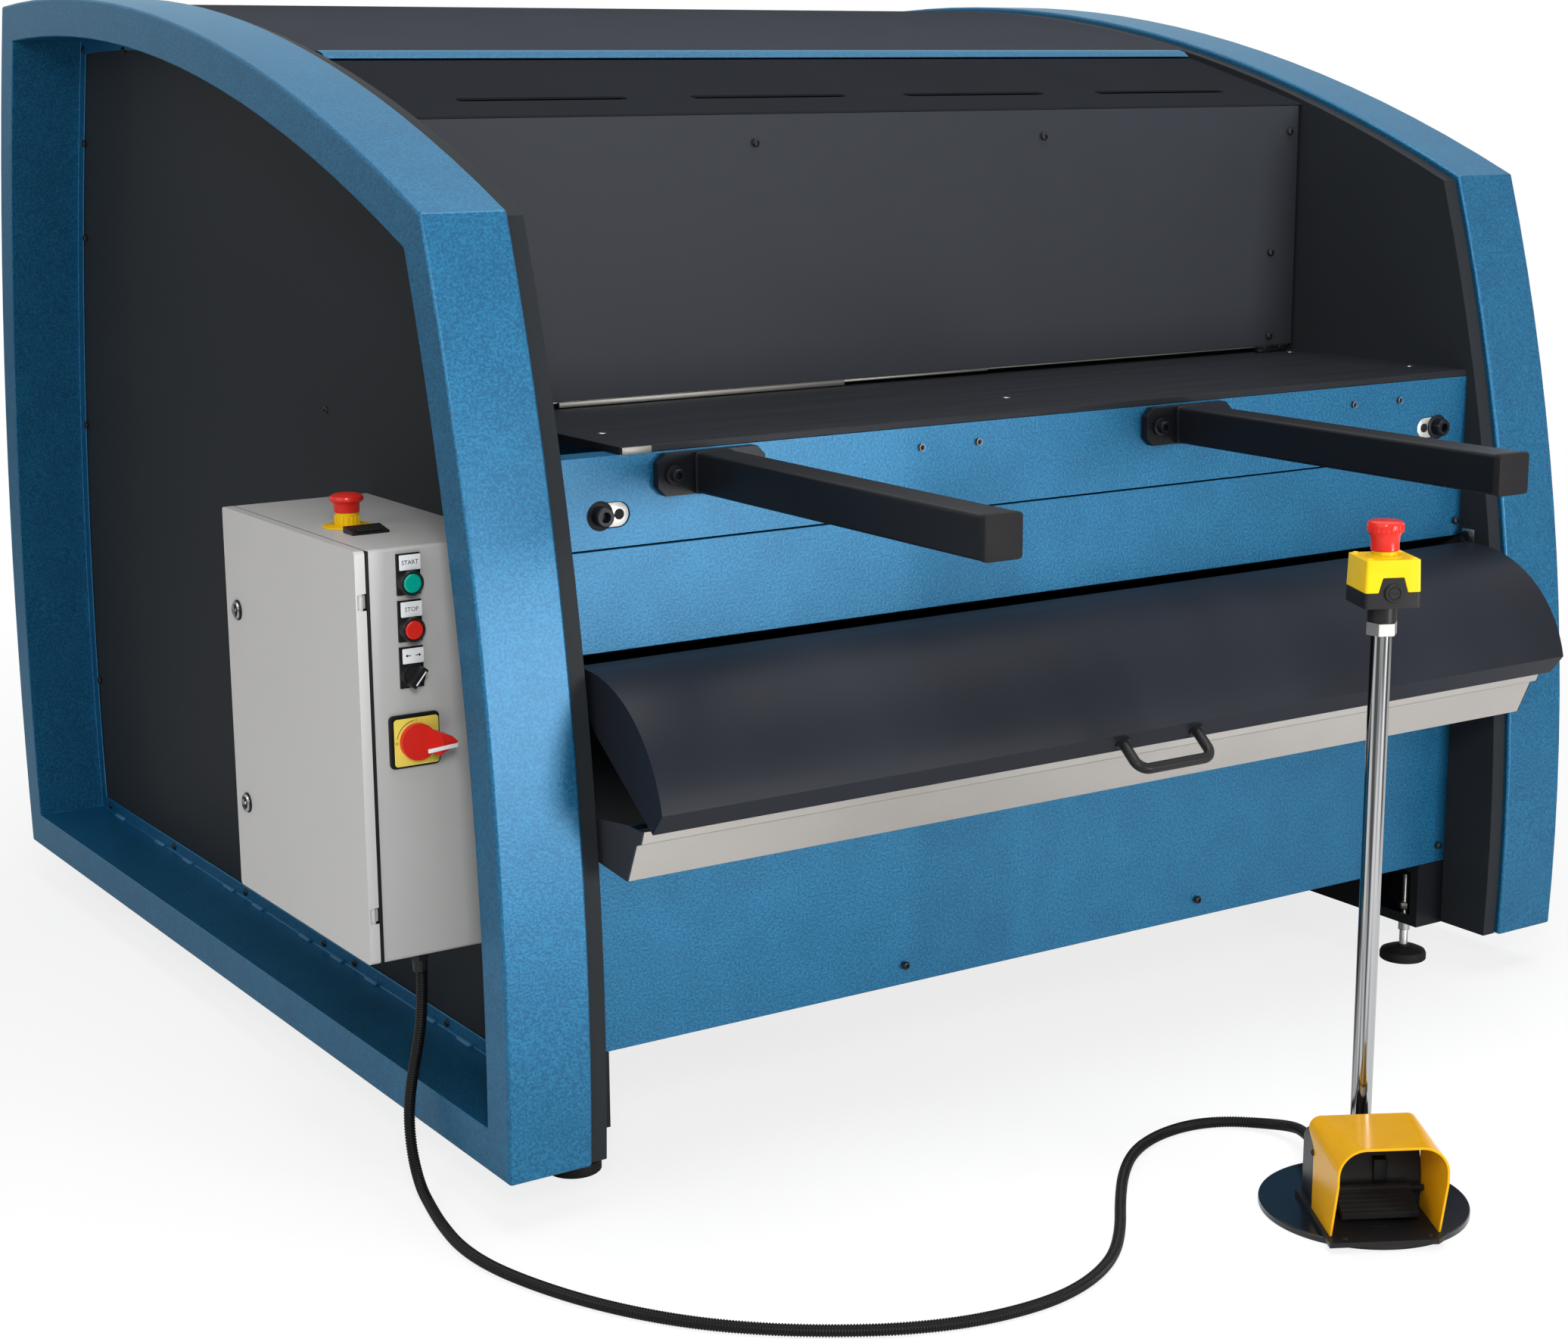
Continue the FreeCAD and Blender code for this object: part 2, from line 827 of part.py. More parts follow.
# Top cover and rear panels, bent to the line of the side plates
def top_cover():
    outer = size.plate_inset
    inner = outer + size.sheet_thick
    front = size.trim_y + size.trim_run + size.trim_depth + size.fit_gap
    back = size.ring_depth - size.ring_back_lean - size.cover_end_in
    corners = [
        (front, on_top(front, outer), size.top_radius - outer, 1),
        (back, on_top(back, outer)),
        (back, on_top(back, inner), size.top_radius - inner, -1),
        (front, on_top(front, inner)),
    ]
    return piece(prism("top_cover", machine, [corners], -plate_inner_x, size.clear_width),
                 "top_cover")


def rear_panel(name, low, high):
    outer = size.rear_inset
    inner = outer + size.sheet_thick
    corners = [
        (on_back(low, inner), low, size.back_radius - inner, -1),
        (on_back(high, inner), high),
        (on_back(high, outer), high, size.back_radius - outer, 1),
        (on_back(low, outer), low),
    ]
    return piece(prism(name, machine, [corners], -plate_inner_x, size.clear_width), name)


top_cover()
rear_panel("rear_upper_panel", size.rear_split + size.seam,
           size.ring_back_height - size.rear_top_drop)
rear_panel("rear_lower_panel", size.lower_panel_bottom, size.rear_split)

# Base rails: closed box sections inside the side plates, with windows over the foot nuts
rail_top = size.lower_panel_bottom - size.fit_gap
foot_x = plate_inner_x - size.rail_width / 2
foot_rows = (("front", size.foot_front_y), ("rear", size.foot_back_y))


def base_rail(name, left_x, window_x):
    front = size.face_y
    length = size.ring_depth - size.rail_back_in - front
    height = rail_top - size.ring_lift
    wall = size.rail_wall
    outer = box(name + "_bar", machine, (left_x, front, size.ring_lift),
                (size.rail_width, length, height))
    tools = [box(name + "_room", machine, (left_x + wall, front + wall, size.ring_lift + wall),
                 (size.rail_width - wall * 2, length - wall * 2, height - wall * 2))]
    middle_x = left_x + size.rail_width / 2
    for label, y in foot_rows:
        tools.append(box(f"{name}_{label}_window", machine,
                         (window_x, y - size.foot_front_y + size.face_y + size.window_front,
                          size.ring_lift + size.window_sill),
                         (wall * 3, size.window_length, size.window_height)))
        tools.append(cylinder(f"{name}_{label}_hole", machine,
                              (middle_x, y, size.ring_lift - 1),
                              size.stud_radius + size.fit_gap, wall + 2))
    return cut(name, outer, *tools)


def base_rails():
    left = base_rail("left_rail", -plate_inner_x,
                     -plate_inner_x + size.rail_width - size.rail_wall * 2)
    right = base_rail("right_rail", plate_inner_x - size.rail_width,
                      plate_inner_x - size.rail_width - size.rail_wall)
    return piece(fuse("base_rails", left, right), "base_rails")


base_rails()


def foot(label, x, y):
    """A round pad with a stud; one nut carries the rail and one locks it."""
    low = cylinder(label + "_edge", machine, (x, y, 0), size.foot_radius, size.foot_edge)
    high = cone(label + "_top", machine, (x, y, size.foot_edge), size.foot_radius,
                size.foot_radius - size.foot_chamfer, size.foot_thick - size.foot_edge)
    sleeve = cylinder(label + "_sleeve", machine, (x, y, size.foot_edge), size.sleeve_radius,
                      size.ring_lift - size.foot_nut_height / 2 - size.foot_edge)
    stud = cylinder(label + "_stud", machine, (x, y, size.foot_edge), size.stud_radius,
                    size.stud_top - size.foot_edge)
    nut = hexagon(label + "_nut", machine, (x, y, size.ring_lift - size.foot_nut_height),
                  size.foot_nut_radius, size.foot_nut_height)
    lock = hexagon(label + "_lock", machine,
                   (x, y, size.ring_lift + size.rail_wall + size.lock_nut_lift),
                   size.foot_nut_radius, size.lock_nut_height)
    return fuse(label, low, high, sleeve, stud, nut, lock)


def levelling_feet():
    feet = [foot(f"{side}_{row}_foot", x, y)
            for side, x in (("left", -foot_x), ("right", foot_x)) for row, y in foot_rows]
    return piece(fuse("levelling_feet", *feet), "levelling_feet")


levelling_feet()


# Support arms on bevelled flanges
def arm(name, middle_x):
    half = size.arm_size / 2
    tube = extruded(name + "_tube", "XZ_Plane",
                    [rounded(-half, -half, size.arm_size, size.arm_size, size.arm_round)],
                    size.arm_reach)
    put(tube, machine, middle_x, size.face_y, arm_middle_z)
    half_wide = size.flange_width / 2
    half_high = size.flange_height / 2
    corner = size.flange_corner
    loop = [
        (-half_wide + corner, -half_high),
        (half_wide - corner, -half_high),
        (half_wide, -half_high + corner),
        (half_wide, half_high - corner),
        (half_wide - corner, half_high),
        (-half_wide + corner, half_high),
        (-half_wide, half_high - corner),
        (-half_wide, -half_high + corner),
    ]
    flange = extruded(name + "_flange", "XZ_Plane", [loop], size.flange_thick)
    put(flange, machine, middle_x, size.face_y, arm_middle_z)
    holes = [cylinder(name + "_hole", machine,
                      (middle_x + size.flange_hole_out * side, size.face_y + 1, arm_middle_z),
                      size.flange_hole_radius, size.flange_thick + 2, "-y") for side in (-1, 1)]
    return piece(cut(name, fuse(name, tube, flange), *holes), name)


arm("left_arm", -plate_inner_x + size.arm_left_in)
arm("right_arm", plate_inner_x - size.arm_right_in)

# Chute slide and tray
slide_low_z = lower_panel_top - size.panel_lap - size.sheet_thick
slide_front_y = size.face_y + size.panel_thick + size.fit_gap
slide_back_y = size.guard_y + size.table_under
piece(prism("chute_slide", machine, [[
    (slide_front_y, slide_low_z),
    (slide_back_y, size.slide_top),
    (slide_back_y, size.slide_top + size.sheet_thick),
    (slide_front_y, slide_low_z + size.sheet_thick),
]], -plate_inner_x, size.clear_width), "chute_slide")

tray_half = plate_inner_x - size.tray_side_gap
tray_front_y = size.face_y - size.tray_front_out
tray_top_y = tray_front_y - size.tray_front_run
tray_step_y = tray_top_y - size.tray_step_run
tray_rim_y = tray_step_y - size.tray_rim_run


def chute_tray():
    """A floor that falls to the front, and a stepped front that leans out."""
    wall = size.cover_sheet
    loop = [
        (size.face_y, tray_back_z),
        (size.face_y, tray_back_z + wall),
        (tray_front_y + wall, tray_front_z + wall),
        (tray_top_y + wall * 0.75, tray_front_top_z + wall * 0.75),
        (tray_step_y + wall * 0.75, tray_step_z + wall * 0.75),
        (tray_rim_y + wall, tray_rim_z),
        (tray_rim_y, tray_rim_z),
        (tray_step_y, tray_step_z),
        (tray_top_y, tray_front_top_z),
        (tray_front_y, tray_front_z),
    ]
    return piece(prism("chute_tray", machine, [loop], -tray_half, tray_half * 2), "chute_tray")


def tray_ends():
    wall = size.cover_sheet
    loop = [
        (size.face_y, tray_back_z),
        (size.face_y, tray_step_z),
        (tray_front_y, tray_rim_z),
        (tray_rim_y, tray_rim_z),
        (tray_step_y, tray_step_z),
        (tray_top_y, tray_front_top_z),
        (tray_front_y, tray_front_z),
    ]
    left = prism("left_tray_end", machine, [loop], -tray_half - wall, wall)
    right = prism("right_tray_end", machine, [loop], tray_half, wall)
    return piece(fuse("tray_ends", left, right), "tray_ends")


chute_tray()
tray_ends()


# Chute cover: a curved sheet with a bent lip, closed by an end plate on each side
def chute_cover():
    wall = size.cover_sheet
    rear_y = pivot_y - size.hinge_eye
    share = wall / size.cover_radius
    inner_lip_y = cover_lip_y + size.cover_reach * share
    inner_lip_z = cover_lip_z - (cover_lip_z - cover_top + size.cover_radius) * share
    sheet_loop = [
        (rear_y, cover_top),
        (size.cover_flat_y, cover_top, size.cover_radius, -1),
        (cover_lip_y, cover_lip_z),
        (lip_end_y, lip_end_z),
        (lip_end_y + wall, lip_end_z + wall),
        (inner_lip_y + wall / 2, inner_lip_z, size.cover_radius - wall, 1),
        (size.cover_flat_y, cover_top - wall),
        (rear_y, cover_top - wall),
    ]
    shell = prism("cover_sheet", machine, [sheet_loop], -tray_half, tray_half * 2)
    half_wall = wall / 2
    end_loop = [
        (pivot_y, pivot_z + size.hinge_eye, size.hinge_eye, 1),
        (pivot_y, pivot_z - size.hinge_eye),
        (size.end_low_y, cover_top - size.end_low_drop),
        (lip_end_y + half_wall, lip_end_z + half_wall),
        (cover_lip_y + half_wall, cover_lip_z, size.cover_radius - half_wall, 1),
        (size.cover_flat_y, cover_top - half_wall),
        (rear_y, cover_top - half_wall),
    ]
    ends = []
    for label, left_x in (("left", -tray_half), ("right", tray_half - wall)):
        end = prism("cover_end_" + label, machine, [end_loop], left_x, wall)
        eye = cylinder("cover_eye_" + label, machine, (left_x - 1, pivot_y, pivot_z),
                       size.hinge_pin + size.pin_gap, wall + 2, "x")
        ends.append(cut("cover_end_" + label, end, eye))
    return piece(fuse("chute_cover", shell, *ends), "chute_cover")


chute_cover()


def cover_hinges():
    """On each side plate a collar with a pin, under a small lug."""
    hinges = []
    pin_length = size.tray_side_gap + size.cover_sheet * 3
    collar_length = size.tray_side_gap - size.fit_gap
    lug_height = size.hinge_collar * 2
    for label, wall_x, way in (("left", -plate_inner_x, 1), ("right", plate_inner_x, -1)):
        pin_x = wall_x if way > 0 else wall_x - pin_length
        collar_x = wall_x if way > 0 else wall_x - collar_length
        pin = cylinder(f"{label}_cover_pin", machine, (pin_x, pivot_y, pivot_z),
                       size.hinge_pin, pin_length, "x")
        collar = cylinder(f"{label}_cover_collar", machine, (collar_x, pivot_y, pivot_z),
                          size.hinge_collar, collar_length, "x")
        lug = box(f"{label}_cover_lug", machine,
                  (collar_x, pivot_y - size.hinge_collar, pivot_z),
                  (collar_length / 2, lug_height, size.hinge_collar + size.cover_gap / 2))
        hinges.append(fuse(label + "_cover_hinge", pin, collar, lug))
    return piece(fuse("cover_hinges", *hinges), "cover_hinges")


cover_hinges()


def chute_handle():
    """A round bar bent to a bow that stands square on the lip, with a disc at each foot."""
    lip = FreeCAD.Vector(0, float(size.lip_run), -float(size.lip_drop)).normalize()
    out = FreeCAD.Vector(0, lip.z, -lip.y)
    middle_foot = FreeCAD.Vector(0, float(cover_lip_y + size.lip_run / 2),
                                 float(cover_lip_z - size.lip_drop / 2))
    across = FreeCAD.Vector(1, 0, 0)
    bend = float(size.handle_bend)
    start = middle_foot - across * float(size.handle_centres / 2)
    end = middle_foot + across * float(size.handle_centres / 2)
    near_corner = start + out * float(size.handle_reach)
    far_corner = end + out * float(size.handle_reach)
    knuckle = math.sqrt(0.5) * bend
    near_centre = near_corner + (across - out) * bend
    far_centre = far_corner - (across + out) * bend
    path = Part.Wire([
        Part.LineSegment(start, near_corner - out * bend).toShape(),
        Part.Arc(near_corner - out * bend, near_centre + (out - across) * knuckle,
                 near_corner + across * bend).toShape(),
        Part.LineSegment(near_corner + across * bend, far_corner - across * bend).toShape(),
        Part.Arc(far_corner - across * bend, far_centre + (out + across) * knuckle,
                 far_corner - out * bend).toShape(),
        Part.LineSegment(far_corner - out * bend, end).toShape(),
    ])
    section = Part.Wire([Part.Circle(start, out, float(size.handle_radius)).toShape()])
    bow = path.makePipeShell([section], True, False)
    discs = [Part.makeCylinder(float(size.handle_foot_radius), float(size.handle_foot_thick),
                               point, out) for point in (start, end)]
    thing = doc.addObject("Part::Feature", "chute_handle")
    thing.Shape = bow.multiFuse(discs)
    return piece(put(thing, machine, 0, 0, 0), "chute_handle")


chute_handle()

# Electric cabinet on the left side plate
lock_y = size.cabinet_front_y + size.cabinet_width - size.lock_in
lock_rows = (("upper", cabinet_top - size.lock_top_in),
             ("lower", size.cabinet_bottom + size.lock_low_in))
hinge_x = door_inner_x - size.door_thick / 2
hinge_y = size.cabinet_front_y + size.door_hinge_in
hinge_rows = (("lower", size.cabinet_bottom + size.door_hinge_end),
              ("upper", cabinet_top - size.door_hinge_end))
eye_half = size.door_eye_length / 2


def cabinet():
    wall = size.cabinet_wall
    loop = rounded(size.cabinet_front_y, size.cabinet_bottom, size.cabinet_width,
                   size.cabinet_height, size.cabinet_round)
    shell = prism("cabinet_shell", machine, [loop], cabinet_open_x, size.cabinet_depth)
    room = box("cabinet_room", machine,
               (cabinet_open_x - 1, size.cabinet_front_y + wall, size.cabinet_bottom + wall),
               (size.cabinet_depth + 1 - wall, size.cabinet_width - wall * 2,
                size.cabinet_height - wall * 2))
    return piece(cut("cabinet_body", shell, room), "cabinet_body")


cabinet()


def door_eye(label, low_z):
    """Half of a hinge: a short tube joined to the inside of the door's face."""
    eye = cylinder("eye_" + label, machine, (hinge_x, hinge_y, low_z),
                   size.door_eye_radius, eye_half)
    web = box("web_" + label, machine,
              (door_face_x + size.cabinet_wall / 2, hinge_y - size.door_eye_radius, low_z),
              (size.door_thick / 2 - size.cabinet_wall / 2, size.door_eye_radius * 2, eye_half))
    bore = cylinder("bore_" + label, machine, (hinge_x, hinge_y, low_z - 1),
                    size.door_pin_radius + size.pin_gap, eye_half + 2)
    return cut("door_eye_" + label, fuse("door_eye_" + label, eye, web), bore)


def cabinet_door():
    wall = size.cabinet_wall
    loop = rounded(size.cabinet_front_y, size.cabinet_bottom, size.cabinet_width,
                   size.cabinet_height, size.cabinet_round)
    panel = prism("door_panel", machine, [loop], door_face_x, size.door_thick)
    cuts = [box("door_room", machine,
                (door_face_x + wall, size.cabinet_front_y + wall, size.cabinet_bottom + wall),
                (size.door_thick, size.cabinet_width - wall * 2,
                 size.cabinet_height - wall * 2))]
    for label, z in lock_rows:
        cuts.append(cylinder("lock_hole_" + label, machine, (door_face_x - 1, lock_y, z),
                             size.lock_radius - wall + size.pin_gap, wall + 2, "x"))
    eyes = []
    for label, z in hinge_rows:
        cuts.append(box("door_notch_" + label, machine,
                        (door_face_x + wall, size.cabinet_front_y - 1, z - eye_half - wall),
                        (size.door_thick, wall + 2, size.door_eye_length + wall * 2)))
        eyes.append(door_eye(label + "_low", z - size.door_eye_length - size.fit_gap))
        eyes.append(door_eye(label + "_high", z + eye_half + size.fit_gap))
    return piece(fuse("cabinet_door", cut("cabinet_door", panel, *cuts), *eyes), "cabinet_door")


cabinet_door()


def door_hinges():
    """Two lugs with pins, carried by the front wall inside the cabinet."""
    lugs = []
    heel_length = size.door_eye_radius * 2
    for label, z in hinge_rows:
        low_z = z - eye_half
        eye = cylinder("lug_eye_" + label, machine, (hinge_x, hinge_y, low_z),
                       size.door_eye_radius, size.door_eye_length)
        pin = cylinder("lug_pin_" + label, machine,
                       (hinge_x, hinge_y, z - size.door_eye_length + 1),
                       size.door_pin_radius, size.door_eye_length * 2 - 2)
        heel_x = cabinet_open_x + size.cabinet_wall
        bar = box("lug_bar_" + label, machine, (hinge_x, hinge_y + size.fit_gap, low_z),
                  (heel_x + heel_length - hinge_x, size.door_eye_radius - size.fit_gap,
                   size.door_eye_length))
        heel = box("lug_heel_" + label, machine,
                   (heel_x, size.cabinet_front_y + size.cabinet_wall, low_z),
                   (heel_length, size.door_hinge_in - size.cabinet_wall + size.door_eye_radius,
                    size.door_eye_length))
        lugs.append(fuse("lug_" + label, eye, pin, bar, heel))
    return piece(fuse("door_hinges", *lugs), "door_hinges")


door_hinges()


def door_lock(name, z):
    """A round head proud of the door, with a slot for the key."""
    head = cylinder(name + "_head", machine, (door_face_x - size.lock_proud, lock_y, z),
                    size.lock_radius, size.lock_proud - size.fit_gap, "x")
    core = cylinder(name + "_core", machine, (door_face_x - 1, lock_y, z),
                    size.lock_radius - size.cabinet_wall,
                    size.door_thick - size.cabinet_wall, "x")
    key = box(name + "_key", machine,
              (door_face_x - size.lock_proud - 1, lock_y - size.key_width / 2,
               z - size.lock_radius + size.key_width),
              (size.key_width, size.key_width, (size.lock_radius - size.key_width) * 2))
    return piece(cut(name, fuse(name, head, core), key), name)


for label, z in lock_rows:
    door_lock(label + "_door_lock", z)

# Controls on the front of the cabinet
control_x = cabinet_open_x + size.control_in


def control_z(number):
    return cabinet_top - size.control_down - size.control_pitch * number


def control_holders():
    """Three label holders, each with the round seat of its button."""
    holders = []
    for number in range(3):
        z = control_z(number)
        plate = box(f"holder_plate_{number}", machine,
                    (control_x - size.holder_width / 2,
                     size.cabinet_front_y - size.holder_thick, z - size.holder_drop),
                    (size.holder_width, size.holder_thick, size.holder_height))
        bezel = cylinder(f"holder_bezel_{number}", machine,
                         (control_x, size.cabinet_front_y, z), size.bezel_radius,
                         size.bezel_length, "-y")
        hole = cylinder(f"holder_hole_{number}", machine,
                        (control_x, size.cabinet_front_y + 1, z),
                        size.cap_radius + size.pin_gap, size.bezel_length + 2, "-y")
        holders.append(cut(f"holder_{number}", fuse(f"holder_{number}", plate, bezel), hole))
    return piece(fuse("control_holders", *holders), "control_holders")


control_holders()


def push_cap(name, number):
    """A cap with a bevelled rim. It stands off the cabinet by its travel."""
    back_y = size.cabinet_front_y - size.press_travel - size.fit_gap
    length = size.bezel_length + size.cap_proud - size.press_travel
    drum = cylinder(name + "_drum", machine, (control_x, back_y, control_z(number)),
                    size.cap_radius, length, "-y")
    rim = cone(name + "_rim", machine, (control_x, back_y - length, control_z(number)),
               size.cap_radius, size.cap_radius - size.cap_edge, size.cap_edge, "-y")
    return piece(fuse(name, drum, rim), name)


push_cap("start_button", 0)
push_cap("stop_button", 1)


def selector():
    """A drum with a grip bar across it that points up to the right at rest."""
    z = control_z(2)
    hub_length = size.bezel_length + size.selector_hub_proud
    hub = cylinder("selector_hub", machine, (control_x, size.cabinet_front_y - size.fit_gap, z),
                   size.cap_radius, hub_length, "-y")
    half_length = size.selector_bar_length / 2
    bar = extruded("selector_bar", "XZ_Plane",
                   [rounded(-size.selector_bar_width / 2, -half_length, size.selector_bar_width,
                            size.selector_bar_length, size.cap_edge)],
                   size.selector_bar_depth)
    put(bar, machine, control_x, size.cabinet_front_y - hub_length + size.cap_edge, z,
        rotation=FreeCAD.Rotation(FreeCAD.Vector(0, 1, 0), float(size.selector_rest_angle)))
    return piece(fuse("selector_knob", hub, bar), "selector_knob")


selector()
switch_z = size.cabinet_bottom + size.switch_up


def main_switch():
    """A square plate, and a drum whose handle narrows to a tip on the right."""
    half = size.switch_plate / 2
    plate = extruded("switch_plate", "XZ_Plane",
                     [rounded(-half, -half, size.switch_plate, size.switch_plate,
                              size.switch_plate_round)], size.switch_plate_thick)
    piece(put(plate, machine, control_x, size.cabinet_front_y, switch_z), "main_switch_plate")
    seat_y = size.cabinet_front_y - size.switch_plate_thick - size.fit_gap
    drum = cylinder("switch_drum", machine, (control_x, seat_y, switch_z),
                    size.switch_hub_radius, size.switch_hub_length, "-y")
    radius = size.switch_hub_radius - size.cap_edge
    tip = size.switch_tip_half
    handle = extruded("switch_handle", "XZ_Plane", [[
        (0, -radius),
        (size.switch_tip_reach - tip, -tip),
        (size.switch_tip_reach, 0),
        (size.switch_tip_reach - tip, tip),
        (0, radius, radius, 1),
    ]], size.switch_bar_depth + size.cap_edge)
    put(handle, machine, control_x, seat_y - size.switch_hub_length + size.cap_edge, switch_z)
    return piece(fuse("main_switch_knob", drum, handle), "main_switch_knob")


main_switch()

# Emergency stop and counter on the cabinet's roof
estop_x = cabinet_open_x + size.estop_in
estop_y = size.cabinet_front_y + size.estop_back
barrel_top = cabinet_top + size.estop_barrel_length


def estop_base():
    disc = cylinder("estop_disc", machine, (estop_x, estop_y, cabinet_top),
                    size.estop_disc_radius, size.estop_disc_thick)
    barrel = cylinder("estop_barrel", machine, (estop_x, estop_y, cabinet_top),
                      size.estop_barrel_radius, size.estop_barrel_length)
    hole = cylinder("estop_hole", machine, (estop_x, estop_y, cabinet_top - 1),
                    size.estop_stem_radius + size.pin_gap, size.estop_barrel_length + 2)
    return piece(cut("cabinet_estop_base", fuse("cabinet_estop_base", disc, barrel), hole),
                 "cabinet_estop_base")


estop_base()


def mushroom(name, frame, x, y, neck_z, neck_radius, neck_length, head_length, stem_z):
    """A domed head on a hollow neck that slides down over its seat, with a guiding stem."""
    neck = cylinder(name + "_neck", frame, (x, y, neck_z), neck_radius, neck_length)
    room = cylinder(name + "_room", frame, (x, y, neck_z - 1),
                    neck_radius - size.neck_wall, size.press_travel + 2)
    head_z = neck_z + neck_length
    edge = head_length / 2
    head = cylinder(name + "_head", frame, (x, y, head_z), size.estop_head_radius, edge)
    dome = cone(name + "_dome", frame, (x, y, head_z + edge), size.estop_head_radius,
                size.estop_head_radius - edge, edge)
    stem = cylinder(name + "_stem", frame, (x, y, stem_z), size.estop_stem_radius,
                    head_z - stem_z)
    return piece(fuse(name, cut(name, neck, room), head, dome, stem), name)


mushroom("cabinet_estop_button", machine, estop_x, estop_y, barrel_top,
         size.estop_neck_radius, size.estop_neck_length, size.estop_head_length,
         cabinet_top + size.press_travel + size.fit_gap)


def counter():
    """A small display whose face slopes to the front."""
    front = size.cabinet_front_y + size.counter_back - size.counter_depth / 2
    loop = [
        (front, cabinet_top),
        (front + size.counter_depth, cabinet_top),
        (front + size.counter_depth, cabinet_top + size.counter_high),
        (front, cabinet_top + size.counter_low),
    ]
    return piece(prism("counter", machine, [loop], estop_x - size.counter_width / 2,
                       size.counter_width), "counter")


counter()


def gland(name, frame, x, y, z, way):
    """A hexagon against the wall and a round dome that grips the conduit."""
    nut = hexagon(name + "_nut", frame, (x, y, z), size.gland_radius, size.gland_nut_length, way)
    step = size.gland_nut_length
    dome_base = {"-z": (x, y, z - step), "y": (x, y + step, z)}[way]
    dome = cone(name + "_dome", frame, dome_base, size.gland_dome_radius,
                size.gland_dome_radius - 1, size.gland_length - step, way)
    return piece(fuse(name, nut, dome), name)


gland_x = cabinet_back_x - size.cabinet_gland_in
gland_y = size.cabinet_front_y + size.cabinet_gland_y
pedal_gland_z = pedal_floor + size.pedal_gland_up
gland("cabinet_gland", machine, gland_x, gland_y, size.cabinet_bottom, "-z")
gland("pedal_gland", station, size.pedal_gland_side, housing_back, pedal_gland_z, "y")

# Pedal station
piece(cylinder("station_disc", station, (size.disc_side, size.disc_back, 0), size.disc_radius,
               size.disc_thick), "station_disc")


def pedal_base():
    """A plate with one front corner cut off and a slit near its front edge."""
    half = size.pedal_width / 2
    corner = size.pedal_corner
    front = -size.pedal_front
    slit_y = front + size.slit_in
    loop = [
        (-half, front),
        (half - corner, front),
        (half, front + corner),
        (half, housing_back),
        (-half, housing_back),
    ]
    plate = extruded("pedal_base", "XY_Plane",
                     [loop, rounded(-size.slit_length / 2, slit_y, size.slit_length,
                                    size.slit_width, size.slit_width / 4)],
                     size.pedal_base_thick)
    return piece(put(plate, station, 0, 0, size.disc_thick), "pedal_base")


pedal_base()
housing_half = size.hood_width / 2 - size.hood_wall - size.fit_gap


def pedal_housing():
    """The switch body under the back of the hood, with a flat latch on its front."""
    front = -size.housing_front
    top = pedal_floor + size.housing_rise
    loop = [
        (front, pedal_floor),
        (housing_back, pedal_floor),
        (housing_back, top - size.housing_slope),
        (housing_back - size.housing_slope, top),
        (front + size.housing_slope, top),
        (front, pedal_floor + size.housing_foot_rise),
    ]
    block = prism("housing_block", station, [loop], -housing_half, housing_half * 2)
    latch = box("housing_latch", station,
                (size.latch_side - size.latch_width / 2, front - size.latch_thick,
                 pedal_floor + size.housing_foot_rise / 2),
                (size.latch_width, size.latch_thick + size.housing_slope,
                 size.latch_rise - size.housing_foot_rise / 2))
    return piece(fuse("pedal_housing", block, latch), "pedal_housing")


pedal_housing()


def arch_section(name, half, rise, corner, y):
    """A closed arch on the floor plane: straight legs, round shoulders and a level top."""
    sketch = doc.addObject("Sketcher::SketchObject", name)
    outline(sketch, [
        (-half, 0),
        (half, 0),
        (half, rise - corner, corner, -1),
        (half - corner, rise),
        (-half + corner, rise, corner, -1),
        (-half, rise - corner),
    ])
    put(sketch, station, 0, y, pedal_floor, rotation=FreeCAD.Rotation(FreeCAD.Vector(1, 0, 0), 90))
    sketch.Visibility = False
    return sketch


def hood_form(name, inset, front_y, back_y):
    """The hood's solid form: a tight arch at the back that opens to a rounder one in front."""
    form = doc.addObject("Part::Loft", name)
    half = size.hood_width / 2 - inset
    form.Sections = [
        arch_section(name + "_back", half, size.hood_back_rise - inset,
                     size.hood_back_corner - inset, back_y),
        arch_section(name + "_front", half, size.hood_front_rise - inset,
                     size.hood_front_corner - inset, front_y),
    ]
    form.Solid = True
    form.Ruled = True
    return form


def pedal_hood():
    """A yellow shell over the treadle, open to the front, to the back and below."""
    front_y = -size.hood_front_top
    back_y = -size.hood_back_top
    outer = hood_form("hood_outer", size_of(0), front_y, back_y)
    inner = hood_form("hood_inner", size.hood_wall, front_y - size.hood_wall,
                      back_y + size.hood_wall)
    shell = cut("hood_shell", outer, inner)
    top = pedal_floor + size.hood_front_rise * 1.1
    side_view = [
        (-size.hood_front_low, pedal_floor),
        (-size.hood_back_low, pedal_floor),
        (-size.hood_back_low, pedal_floor + size.hood_back_bend),
        (back_y, pedal_floor + size.hood_back_bend + size.hood_back_step),
        (back_y, top),
        (front_y, top),
        (front_y, pedal_floor + size.hood_front_bend),
    ]
    cutter = prism("hood_side_view", station, [side_view], -size.hood_width, size.hood_width * 2)
    hood = doc.addObject("Part::Common", "pedal_hood")
    hood.Base = shell
    hood.Tool = cutter
    return piece(hood, "pedal_hood")


pedal_hood()


